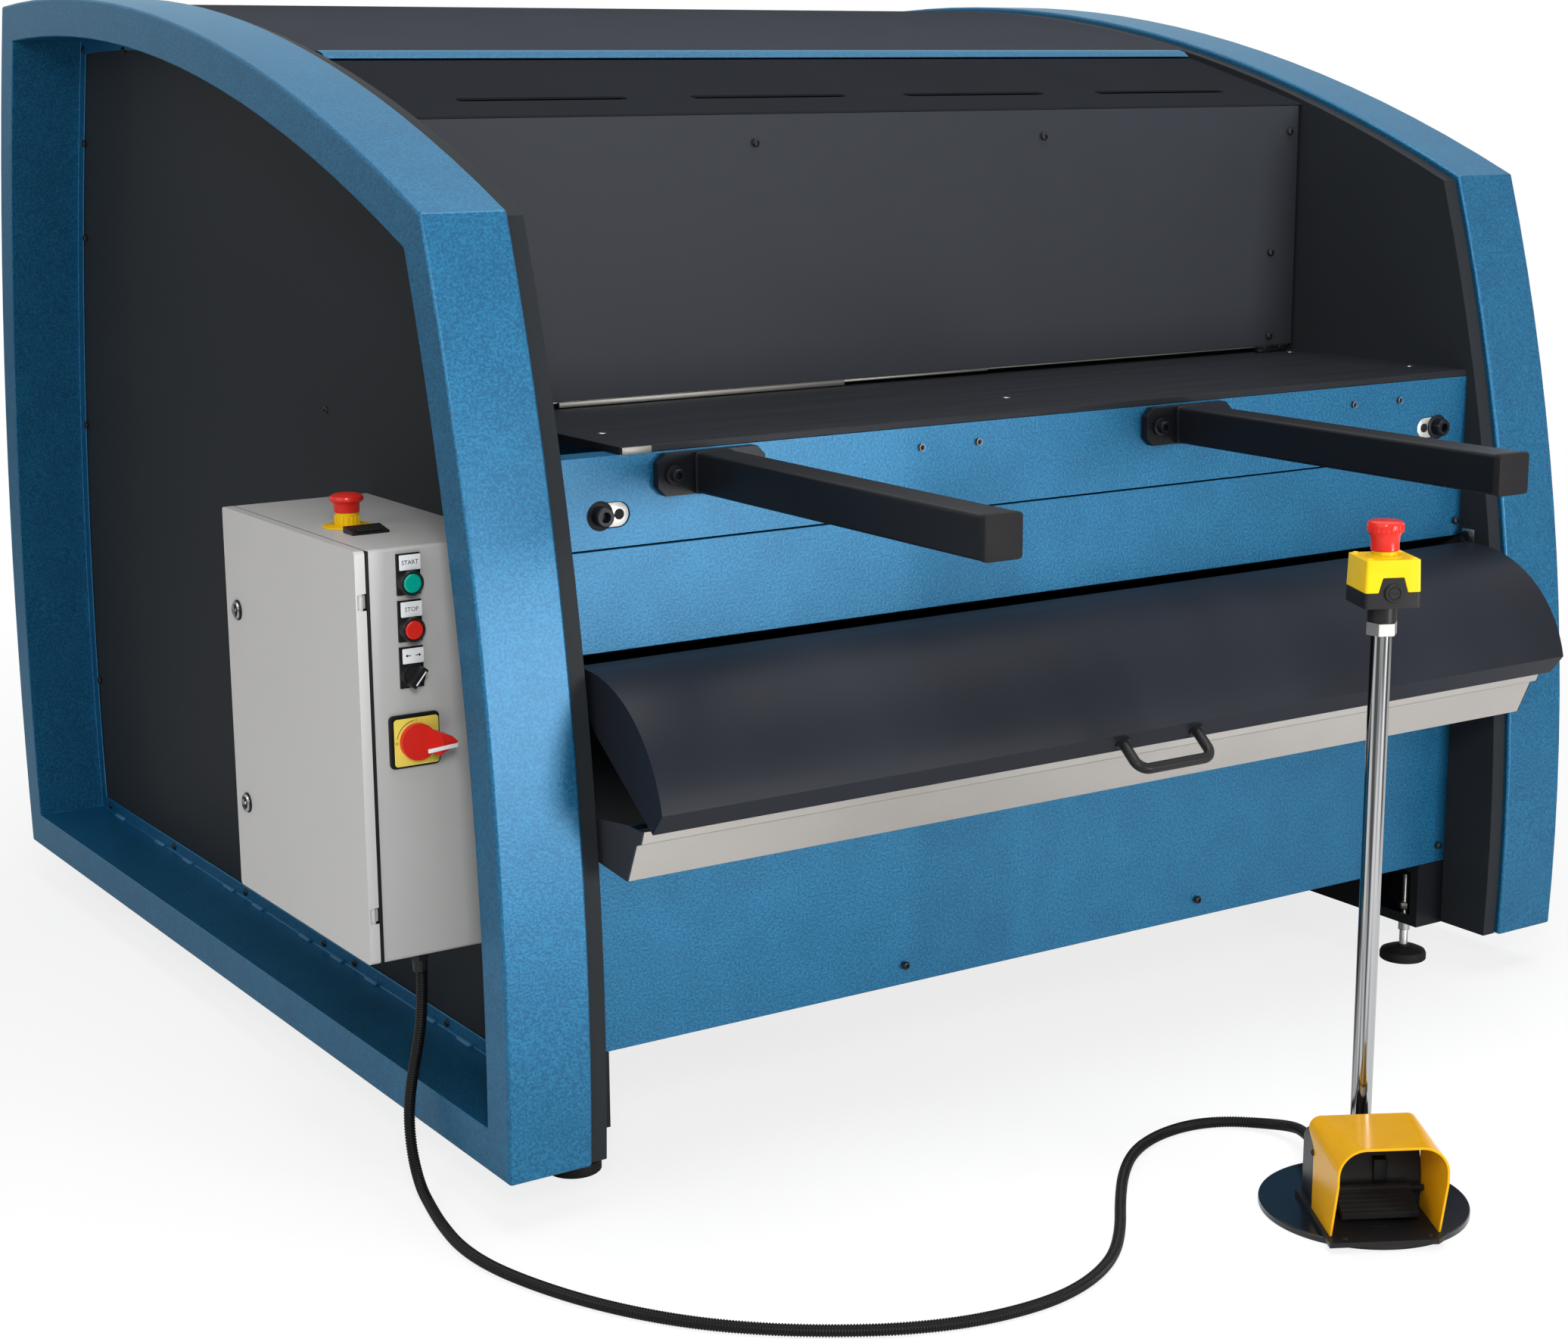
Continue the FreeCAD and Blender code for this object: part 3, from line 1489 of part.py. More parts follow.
def treadle():
    """A ribbed plate that slopes down to the front from the tube on its pin."""
    half = size.treadle_width / 2
    pitch = size.treadle_length / size.treadle_ribs
    count = int(float(size.treadle_ribs))
    front = -size.treadle_length
    low = -size.treadle_thick / 2
    high = size.treadle_thick / 2
    teeth = []
    for number in range(count):
        start = front + pitch * number
        teeth += [(start, high + size.treadle_rib), (start + pitch / 2, high + size.treadle_rib),
                  (start + pitch / 2, high), (start + pitch, high)]
    loop = [(0, low)] + [(front, low)] + teeth
    plate = extruded("treadle_plate", "YZ_Plane", [loop], size.treadle_width)
    pivot_z = pedal_floor + size.treadle_pivot_up
    pivot_y_back = -size.treadle_pivot
    put(plate, station, -half, pivot_y_back, pivot_z,
        rotation=FreeCAD.Rotation(FreeCAD.Vector(1, 0, 0), float(size.treadle_tilt)))
    barrel = cylinder("treadle_barrel", station, (-half, pivot_y_back, pivot_z),
                      size.treadle_eye, size.treadle_width, "x")
    hole = cylinder("treadle_hole", station, (-half - 1, pivot_y_back, pivot_z),
                    size.treadle_pin + size.pin_gap, size.treadle_width + 2, "x")
    piece(cut("treadle", fuse("treadle", plate, barrel), hole), "treadle")
    piece(cylinder("treadle_pin", station, (-housing_half, pivot_y_back, pivot_z),
                   size.treadle_pin, housing_half * 2, "x"), "treadle_pin")


treadle()


# Pole and the box with the second emergency stop
def pole():
    tube = cylinder("pole_tube", pole_frame, (0, 0, size.disc_thick), size.pole_radius,
                    size.pole_top - size.disc_thick)
    bore = cylinder("pole_bore", pole_frame, (0, 0, size.disc_thick),
                    size.pole_radius - size.pole_wall, size.pole_top - size.disc_thick)
    return piece(cut("station_pole", tube, bore), "station_pole")


pole()
nipple_z = size.pole_top + size.nut_height
box_low_z = nipple_z + size.nipple_height
box_seam_z = box_low_z + size.box_low_height
piece(hexagon("pole_nut", pole_frame, (0, 0, size.pole_top), size.nut_radius, size.nut_height),
      "pole_nut")
piece(cylinder("pole_nipple", pole_frame, (0, 0, nipple_z), size.nipple_radius,
               size.nipple_height), "pole_nipple")
box_front = -size.box_depth / 2


def box_block(name, z, height, taper):
    """A block with round corners whose sides lean in by a taper in degrees."""
    body = doc.addObject("PartDesign::Body", name)
    pad = add_pad(body, "XY_Plane", name + "_pad",
                  [rounded(-size.box_width / 2, -size.box_depth / 2, size.box_width,
                           size.box_depth, size.box_round)], height)
    bind(pad, "TaperAngle", -taper)
    return put(body, pole_frame, 0, 0, z)


def tongue(name, grow, depth):
    """A block that narrows upwards, set in the front of the box over the seam."""
    loop = [
        (-size.tongue_low_half - grow, 0),
        (size.tongue_low_half + grow, 0),
        (size.tongue_top_half + grow, size.tongue_rise + grow),
        (-size.tongue_top_half - grow, size.tongue_rise + grow),
    ]
    body = extruded(name, "XZ_Plane", [loop], depth, reverse=True)
    return body


def station_box_base():
    block = box_block("box_low_block", box_low_z, size.box_low_height, size_of(0))
    rise = tongue("box_tongue", size_of(0), size.tongue_depth)
    put(rise, pole_frame, 0, box_front, box_seam_z)
    plug = cylinder("box_plug", pole_frame, (0, box_front + size.tongue_depth, box_seam_z),
                    size.plug_radius, size.tongue_depth + size.plug_proud, "-y")
    return piece(fuse("station_box_base", block, rise, plug), "station_box_base")


station_box_base()


def station_box_lid():
    block = box_block("box_lid_block", box_seam_z, size.box_top_height, size.box_taper)
    notch = tongue("box_notch", size.fit_gap, size.tongue_depth + size.fit_gap + size.box_width)
    put(notch, pole_frame, 0, box_front - size.box_width, box_seam_z)
    collar = cylinder("station_collar", pole_frame, (0, 0, box_seam_z + 1), size.collar_radius,
                      size.box_top_height - 1 + size.collar_height)
    hole = cylinder("station_hole", pole_frame,
                    (0, 0, box_seam_z + size.box_top_height / 2),
                    size.estop_stem_radius + size.pin_gap,
                    size.box_top_height / 2 + size.collar_height + 1)
    return piece(cut("station_box_lid", fuse("station_box_lid", block, collar), notch, hole),
                 "station_box_lid")


station_box_lid()
collar_top = box_seam_z + size.box_top_height + size.collar_height
mushroom("station_estop_button", pole_frame, 0, 0, collar_top, size.skirt_radius,
         size.skirt_height, size.station_head_height,
         box_seam_z + size.box_top_height / 2 + size.press_travel + 1)


# Conduit from the cabinet to the pedal, lying on the floor
def conduit_path(route):
    """Straight runs joined by tangent arcs, as large as the runs allow."""
    edges = []
    radii = []
    here = route[0]
    for index in range(1, len(route) - 1):
        before, corner, after = route[index - 1:index + 2]
        into = (corner - before).normalize()
        onward = (after - corner).normalize()
        turn = into.getAngle(onward)
        setback = 0.45 * min((corner - before).Length, (after - corner).Length)
        radius = setback / math.tan(turn / 2)
        start = corner - into * setback
        end = corner + onward * setback
        middle_way = (onward - into).normalize()
        depth = radius / math.cos(turn / 2) - radius
        edges.append(Part.LineSegment(here, start).toShape())
        edges.append(Part.Arc(start, corner + middle_way * depth, end).toShape())
        radii.append(round(radius))
        here = end
    edges.append(Part.LineSegment(here, route[-1]).toShape())
    return Part.Wire(edges), radii


def conduit():
    low = float(size.conduit_radius) + 0.2
    hanging = [
        (-899, 194.4, 238), (-902, 200, 193), (-907, 213, 143), (-911, 220, 92),
        (-915, 206, 46), (-921, 172, 15),
    ]
    on_floor = [
        (-929, 127), (-941, 72), (-950, 5), (-945, -62), (-926, -130), (-899, -197),
        (-864, -260), (-821, -318), (-768, -370), (-710, -414), (-647, -451), (-580, -477),
        (-512, -488), (-450, -486), (-391, -468), (-337, -436), (-286, -386), (-232, -321),
        (-176, -260), (-122, -216), (-66, -193), (-8, -189), (40, -206),
    ]
    rising = [(72, -245, 10), (79, -292, 20)]
    gland_end = size.cabinet_bottom - size.gland_length - size.cord_gap
    route = [machine.vector(gland_x, gland_y, gland_end)]
    route += [machine.vector(*point) for point in hanging]
    route += [machine.vector(x, y, low) for x, y in on_floor]
    route += [machine.vector(*point) for point in rising]
    face = housing_back + size.gland_length + size.cord_gap
    for out, drop in ((105, 4), (52, 0), (0, 0)):
        route.append(station.vector(size.pedal_gland_side, face + out, pedal_gland_z - drop))
    path, radii = conduit_path(route)
    section = Part.Wire([Part.Circle(route[0], FreeCAD.Vector(0, 0, -1),
                                     float(size.conduit_radius)).toShape()])
    thing = doc.addObject("Part::Feature", "conduit")
    thing.Shape = path.makePipeShell([section], True, False)
    put(thing, Frame(0, 0), 0, 0, 0)
    share = thing.Shape.Volume / (math.pi * float(size.conduit_radius) ** 2 * path.Length)
    print("conduit radii", radii)
    print("conduit length", round(path.Length), "volume share", round(share, 4))
    return piece(thing, "conduit")


conduit()


def check_and_write():
    doc.recompute()
    for thing in doc.Objects:
        if "Invalid" in thing.State or "Error" in thing.State:
            raise RuntimeError(f"{thing.Label} failed: {thing.State}")
    os.makedirs("parts", exist_ok=True)
    for thing in pieces:
        if thing.Shape.isNull() or not thing.Shape.isValid():
            raise RuntimeError(f"{thing.Label} has no valid shape")
        thing.Shape.exportStep(f"parts/{thing.Label}.step")


check_and_write()
whole = FreeCAD.BoundBox()
for made in pieces:
    if made.Label != "conduit":
        whole.add(made.Shape.BoundBox)
print(len(pieces), "pieces in", whole)
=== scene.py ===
import json
import math

import bmesh
import bpy
from bpy.props import FloatProperty, FloatVectorProperty, PointerProperty
from bpy.types import Operator, Panel, PropertyGroup
from mathutils import Matrix, Quaternion, Vector

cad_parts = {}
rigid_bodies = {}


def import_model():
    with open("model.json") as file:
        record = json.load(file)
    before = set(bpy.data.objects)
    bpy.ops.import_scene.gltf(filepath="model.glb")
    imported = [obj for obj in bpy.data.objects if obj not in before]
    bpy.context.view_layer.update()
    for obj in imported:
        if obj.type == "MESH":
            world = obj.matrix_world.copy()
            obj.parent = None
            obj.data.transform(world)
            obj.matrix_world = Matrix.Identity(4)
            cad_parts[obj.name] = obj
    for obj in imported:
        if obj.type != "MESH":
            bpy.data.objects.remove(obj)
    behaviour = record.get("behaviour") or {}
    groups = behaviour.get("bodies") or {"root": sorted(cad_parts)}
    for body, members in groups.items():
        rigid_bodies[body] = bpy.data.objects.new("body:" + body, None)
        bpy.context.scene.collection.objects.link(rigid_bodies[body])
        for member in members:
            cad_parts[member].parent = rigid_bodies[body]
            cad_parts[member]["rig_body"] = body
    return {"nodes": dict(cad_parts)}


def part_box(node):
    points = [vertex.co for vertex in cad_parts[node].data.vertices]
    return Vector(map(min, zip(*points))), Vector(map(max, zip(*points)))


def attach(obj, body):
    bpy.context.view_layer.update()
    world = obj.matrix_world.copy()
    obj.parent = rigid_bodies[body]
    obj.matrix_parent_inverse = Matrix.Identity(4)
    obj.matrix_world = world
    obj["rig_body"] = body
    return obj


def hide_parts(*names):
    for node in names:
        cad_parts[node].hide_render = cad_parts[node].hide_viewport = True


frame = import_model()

bl_info = {
    "name": "Motorized plate shear",
    "version": (1, 0, 0),
    "blender": (4, 5, 0),
    "location": "3D View > Sidebar > Plate Shear",
    "description": "Gives the frame of a motorized plate shear its finishes and small parts",
    "category": "Object",
}

MM = 0.001
SHARP = math.radians(30)
FLAT = math.radians(0.4)
SAME_PLACE = 0.004 * MM
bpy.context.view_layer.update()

UP = (0, 0, 1)
FRONT = (0, -1, 0)
BACK = (0, 1, 0)
LEFT = (-1, 0, 0)
RIGHT = (1, 0, 0)


def length(name, text, millimetres):
    return FloatProperty(name=name, description=text, default=millimetres * MM, unit="LENGTH")


def colour(name, text, tint):
    return FloatVectorProperty(name=name, description=text, default=tint, size=3,
                               subtype="COLOR", min=0, max=1)


def turning(name, text, degrees):
    return FloatProperty(name=name, description=text, default=math.radians(degrees),
                         subtype="ANGLE")


def wattage(name, text, watts):
    return FloatProperty(name=name, description=text, default=watts, min=0, unit="POWER")


def factor(name, text, part):
    return FloatProperty(name=name, description=text, default=part, min=0, max=1,
                         subtype="FACTOR")


class ShearColours(PropertyGroup):
    """Colours of the finishes."""

    blue: colour("Hammered blue", "Light flakes in the blue paint", (0.009, 0.110, 0.222))
    blue_shade: colour("Blue shade", "Ground between the flakes", (0.003, 0.062, 0.142))
    glint: colour("Glint", "Shine of the blue paint", (0.30, 0.78, 0.95))
    anthracite: colour("Anthracite", "Satin paint of the covers", (0.030, 0.033, 0.040))
    top: colour("Top cover", "Matt paint of the top cover", (0.045, 0.049, 0.058))
    cover: colour("Chute cover", "Satin paint of the chute cover", (0.012, 0.014, 0.020))
    vent: colour("Vent panel", "Matt paint of the vent panel", (0.019, 0.021, 0.025))
    plate: colour("Side plate", "Dark paint of the side plates", (0.020, 0.023, 0.026))
    table: colour("Table", "Blackened steel of the table", (0.015, 0.017, 0.021))
    black: colour("Black paint", "Paint of the arms and rails", (0.006, 0.007, 0.009))
    light_grey: colour("Light grey", "Textured coat of the cabinet", (0.455, 0.450, 0.440))
    sheet: colour("Bright sheet", "Bare sheet of the tray", (0.51, 0.485, 0.455))
    zinc: colour("Zinc", "Plated bolts and nuts", (0.55, 0.55, 0.53))
    steel: colour("Dull steel", "Bare steel of the clamp and the beam's sleeves",
                  (0.19, 0.185, 0.17))
    conduit: colour("Conduit black", "Plastic of the conduit", (0.006, 0.006, 0.006))
    chrome: colour("Chrome", "Polished pole and locks", (0.40, 0.405, 0.41))
    amber: colour("Amber", "Moulded hood of the pedal", (0.68, 0.335, 0.004))
    lemon: colour("Lemon", "Moulded lids and collars", (0.78, 0.50, 0.008))
    sign: colour("Sign yellow", "Plate behind the main switch", (0.78, 0.62, 0.10))
    weld: colour("Weld blue", "Paint on the stitch welds", (0.05, 0.17, 0.30))
    red: colour("Red", "Stop buttons and switch handle", (0.62, 0.022, 0.014))
    green: colour("Green", "Start button", (0.0, 0.33, 0.24))
    white: colour("White", "Legend plates and pointers", (0.80, 0.81, 0.82))
    plastic: colour("Black plastic", "Holders, glands and handle", (0.012, 0.012, 0.013))


class ShearSizes(PropertyGroup):
    """Sizes of the small parts and soft edges."""

    ring_edge: length("Frame edge", "Rounding of the blue side frames", 2.4)
    sheet_edge: length("Sheet edge", "Rounding of bent sheet", 1.2)
    cabinet_edge: length("Cabinet edge", "Rounding of the cabinet", 2.5)
    mould_edge: length("Moulded edge", "Rounding of moulded parts", 1.5)
    screw: length("Screw head", "Radius of a panel screw", 5.6)
    bolt: length("Bolt head", "Radius of an arm bolt", 8.0)
    weld: length("Weld", "Length of one stitch weld", 36)
    rib: length("Conduit rib", "Pitch of the conduit's ribs", 3.4)
    conduit: length("Conduit", "Outer radius of the conduit", 7.0)


class ShearStage(PropertyGroup):
    """The camera, the lamps and the floor."""

    lens: FloatProperty(name="Lens", description="Focal length", default=61.67, unit="CAMERA")
    yaw: turning("Yaw", "Turn of the camera to the right", 33.471)
    pitch: turning("Pitch", "Fall of the camera's view", 12.586)
    roll: turning("Roll", "Roll of the camera", -0.269)
    ambient: factor("Ambient", "Strength of the even light", 0.20)
    key: wattage("Key", "Power of the front lamp", 160)
    fill: wattage("Fill", "Power of the lamp by the camera", 66)
    side: wattage("Side", "Power of the left lamp", 54)
    top: wattage("Top", "Power of the upper lamp", 178)
    floor: colour("Floor", "Colour of the floor", (0.92, 0.92, 0.92))
    floor_glow: factor("Floor glow", "Share of plain white in the floor", 0.80)


# Finishes
class Value:
    """A number that varies over a surface and takes part in sums."""

    def __init__(self, graph, socket):
        self.graph = graph
        self.socket = socket

    def __add__(self, other):
        return self.graph.maths("ADD", self, other)

    __radd__ = __add__

    def __sub__(self, other):
        return self.graph.maths("SUBTRACT", self, other)

    def __mul__(self, other):
        return self.graph.maths("MULTIPLY", self, other)


class Graph:
    """The nodes of a material or a world."""

    def __init__(self, owner):
        owner.use_nodes = True
        self.tree = owner.node_tree
        self.tree.nodes.clear()

    def node(self, kind, sockets=None, output=0, **settings):
        made = self.tree.nodes.new("ShaderNode" + kind)
        for name, value in settings.items():
            setattr(made, name, value)
        for key, value in (sockets or {}).items():
            socket = made.inputs[key]
            if isinstance(value, Value):
                self.tree.links.new(value.socket, socket)
            elif socket.type == "RGBA":
                socket.default_value = (*value, 1)
            else:
                socket.default_value = value
        return Value(self, made.outputs[output]) if made.outputs else None

    def maths(self, operation, *values, clamp=False):
        return self.node("Math", dict(enumerate(values)), operation=operation,
                         use_clamp=clamp)

    def step(self, value, low, high):
        """0 below low, 1 above high, and an even slope between."""
        return self.maths("MULTIPLY", value - low, 1 / (high - low), clamp=True)

    def blend(self, share, first, second):
        return self.node("Mix", {0: share, 6: first, 7: second}, 2, data_type="RGBA")

    def place(self, stretch):
        where = self.node("TexCoord", output="Object")
        return self.node("Mapping", {"Vector": where, "Scale": stretch})

    def noise(self, size, stretch=(1, 1, 1), detail=2.0):
        """Blotches of about a size in millimetres, longer where the stretch is small."""
        return self.node("TexNoise", {"Vector": self.place(stretch),
                                      "Scale": 1 / (size * MM), "Detail": detail})

    def surface(self, sockets, height, depth):
        sockets["Normal"] = self.node("Bump", {
            "Height": height, "Distance": depth * MM, "Strength": 1.0})
        shader = self.node("BsdfPrincipled", sockets)
        self.node("OutputMaterial", {"Surface": shader})


def deepen(tint, share):
    """A colour made darker by a share."""
    return tuple(part * (1 - share) for part in tint)


def hammered(graph, look):
    """Blue metallic paint with a fine hammered skin."""
    cells = graph.noise(3.2, detail=1.5)
    drift = graph.noise(60)
    graph.surface({
        "Base Color": graph.blend(graph.step(cells + drift * 0.2, 0.48, 0.76),
                                  look.blue_shade, look.blue),
        "Metallic": 0.52,
        "Roughness": cells * 0.14 + 0.40,
        "Specular IOR Level": 0.42,
        "Specular Tint": look.glint,
        "Coat Weight": 0.32,
        "Coat Roughness": 0.36,
    }, cells, 0.42)


def satin(tint, roughness, grain, depth, gloss, drift=0.12):
    """Powder coat: a fine grain in the surface and a slow drift in the tone."""
    def build(graph, look):
        base = getattr(look, tint)
        fine = graph.noise(grain, detail=2.5)
        slow = graph.noise(140, detail=1)
        graph.surface({
            "Base Color": graph.blend(slow, deepen(base, drift), base),
            "Roughness": roughness + fine * 0.10 + slow * 0.06 - 0.08,
            "Specular IOR Level": gloss,
        }, fine, depth)
    return build


def streaked(graph, look):
    """Satin paint with soft upright streaks painted in as reflections, as a curved sheet shows
    them.
    """
    reflection_streaks = graph.noise(260, (1.6, 0.12, 0.12), 1.5)
    fine = graph.noise(1.1, detail=2)
    graph.surface({
        # The darker streaks in the colour are painted reflections.
        "Base Color": graph.blend(graph.step(reflection_streaks, 0.30, 0.70),
                                  deepen(look.cover, 0.30), look.cover),
        "Roughness": reflection_streaks * 0.22 + 0.32,
        "Specular IOR Level": 0.10,
    }, fine, 0.02)


def blackened(graph, look):
    """Blackened steel with long fine marks across the table."""
    lines = graph.noise(2.6, (0.02, 1, 1), 3)
    wide = graph.noise(30, (0.05, 1, 1), 1)
    graph.surface({
        "Base Color": graph.blend(graph.step(lines + wide * 0.6, 0.55, 1.0),
                                  deepen(look.table, 0.35), look.table),
        "Metallic": 0.20,
        "Roughness": lines * 0.30 + 0.30,
        "Specular IOR Level": 0.10,
    }, lines, 0.02)


def brushed(tint, roughness, stretch, size=3.0):
    """Bare metal with brush marks one way and faint clouds."""
    def build(graph, look):
        base = getattr(look, tint)
        lines = graph.noise(size, stretch, 3)
        clouds = graph.noise(160, detail=2)
        graph.surface({
            "Base Color": graph.blend(clouds * 0.7 + lines * 0.3, deepen(base, 0.16), base),
            "Metallic": 1.0,
            "Roughness": roughness + lines * 0.12 + clouds * 0.06 - 0.09,
        }, lines, 0.01)
    return build


def polished(graph, look):
    """Chrome with dark upright bands painted in as reflections, and smears from polishing in
    the roughness.
    """
    reflection_bands = graph.noise(7, (1, 1, 0.012), 1.5)
    smears = graph.noise(60, (1, 1, 0.2), 3)
    graph.surface({
        # The dark bands are painted reflections of dark surroundings, not marks in the metal.
        "Base Color": graph.blend(graph.step(reflection_bands, 0.46, 0.58), deepen(look.chrome, 0.88),
                                  look.chrome),
        "Metallic": 1.0,
        "Roughness": graph.step(smears, 0.4, 0.8) * 0.06 + 0.06,
    }, smears, 0.01)


def moulded(tint, roughness, coat=0.0, gloss=0.4, grain=0.5, depth=0.02):
    """Moulded plastic with a fine grain."""
    def build(graph, look):
        base = getattr(look, tint)
        fine = graph.noise(grain, detail=2)
        slow = graph.noise(25, detail=1)
        graph.surface({
            "Base Color": graph.blend(slow, deepen(base, 0.10), base),
            "Roughness": roughness + fine * 0.08 + slow * 0.05 - 0.06,
            "Specular IOR Level": gloss,
            "Coat Weight": coat,
            "Coat Roughness": 0.05,
        }, fine, depth)
    return build


FINISHES = {
    "hammered_blue": hammered,
    "satin_anthracite": satin("anthracite", 0.48, 1.2, 0.03, 0.06),
    "top_paint": satin("top", 0.50, 1.2, 0.03, 0.0),
    "vent_paint": satin("vent", 0.50, 1.2, 0.03, 0.0),
    "cover_anthracite": streaked,
    "plate_paint": satin("plate", 0.45, 2.2, 0.05, 0.03),
    "weld_paint": satin("weld", 0.40, 1.5, 0.04, 0.3),
    "blackened_steel": blackened,
    "black_paint": satin("black", 0.36, 1.6, 0.04, 0.14),
    "disc_paint": satin("black", 0.22, 2.0, 0.02, 0.45),
    "light_grey_coat": satin("light_grey", 0.40, 1.3, 0.05, 0.30, drift=0.04),
    "bright_sheet": brushed("sheet", 0.40, (0.04, 1, 1)),
    "zinc_plate": brushed("zinc", 0.30, (1, 1, 1), 6),
    "dull_steel": brushed("steel", 0.42, (0.04, 1, 1)),
    "polished_chrome": polished,
    "moulded_amber": moulded("amber", 0.20, 0.04, 0.08),
    "moulded_lemon": moulded("lemon", 0.30, 0.04, 0.12),
    "sign_yellow": moulded("sign", 0.40, 0.0, 0.2),
    "moulded_red": moulded("red", 0.26, 0.08, 0.2),
    "moulded_green": moulded("green", 0.26, 0.15, 0.3),
    "moulded_white": moulded("white", 0.40),
    "moulded_black": moulded("plastic", 0.36, 0.0, 0.16),
    # Black rubber parts; the same finish also paints the shade at the bottom of holes and in
    # the door gap.
    "black_rubber": moulded("plastic", 0.60, 0.0, 0.08, 1.2, 0.06),
    "conduit_black": moulded("conduit", 0.34, 0.0, 0.10, 0.8),
}


def paint_of(name):
    """The material of a finish, built when it is first asked for."""
    material = bpy.data.materials.get(name)
    if material is None:
        material = bpy.data.materials.new(name)
        FINISHES[name](Graph(material), bpy.context.scene.shear_colours)
    return material


# Frames that stand on the floor, in metres
def box_middle(node):
    low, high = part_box(node)
    return (low + high) / 2


def floor_frame(x, y, turn=0.0):
    return Matrix.Translation((x, y, 0)) @ Matrix.Rotation(math.radians(turn), 4, "Z")


def metres(place, *point):
    """A point of a frame, given in millimetres."""
    return place @ (Vector(point) * MM)


MACHINE = floor_frame(box_middle("table_beam").x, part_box("left_side_ring")[0].y)
STATION = (floor_frame(*box_middle("station_disc").xy, -28.9)
           @ Matrix.Translation((-6.4 * MM, -10.5 * MM, 0)))
POLE = floor_frame(*box_middle("station_pole").xy, -24.0)


def aim(at, facing, roll=0.0):
    """A matrix that turns up to the way a part faces, and moves it to its point."""
    turn = Vector(UP).rotation_difference(Vector(facing)).to_matrix().to_4x4()
    return Matrix.Translation(at) @ turn @ Matrix.Rotation(math.radians(roll), 4, "Z")


def mesh_of(part, name):
    """A mesh made from a part, which it uses up."""
    data = bpy.data.meshes.new(name)
    part.to_mesh(data)
    part.free()
    return data


def linked(name, data):
    """An object with the data, in the scene."""
    made = bpy.data.objects.new(name, data)
    bpy.context.scene.collection.objects.link(made)
    return made


def settle(piece, body, nodes):
    """Hold a piece to its body, in place of the nodes it stands for."""
    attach(piece, body)
    if nodes:
        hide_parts(*nodes)
    return piece


def rounded(part, edges, width, segments, clamp=False):
    """Bevel some edges of a part."""
    bmesh.ops.bevel(part, geom=edges, offset=width, offset_type="OFFSET", segments=segments,
                    profile=0.5, affect="EDGES", material=-1, clamp_overlap=clamp)


def soften(part, width, segments=2):
    """Round the sharp edges of a part."""
    if width > 0:
        sharp = [edge for edge in part.edges if edge.calc_face_angle(0) > SHARP]
        rounded(part, sharp, width, segments, True)


def block(low, high):
    """A part with six faces between two corners."""
    part = bmesh.new()
    bmesh.ops.create_cube(part, size=1)
    extent = Vector(high) - Vector(low)
    bmesh.ops.scale(part, vec=extent, verts=part.verts)
    bmesh.ops.translate(part, vec=Vector(low) + extent / 2, verts=part.verts)
    return part


def spun(points, axis, steps):
    """A part turned from a row of points around an axis."""
    part = bmesh.new()
    row = [part.verts.new(point) for point in points]
    edges = [part.edges.new(pair) for pair in zip(row, row[1:])]
    bmesh.ops.spin(part, geom=row + edges, cent=(0, 0, 0), axis=axis, angle=math.tau,
                   steps=steps, use_merge=True)
    return part


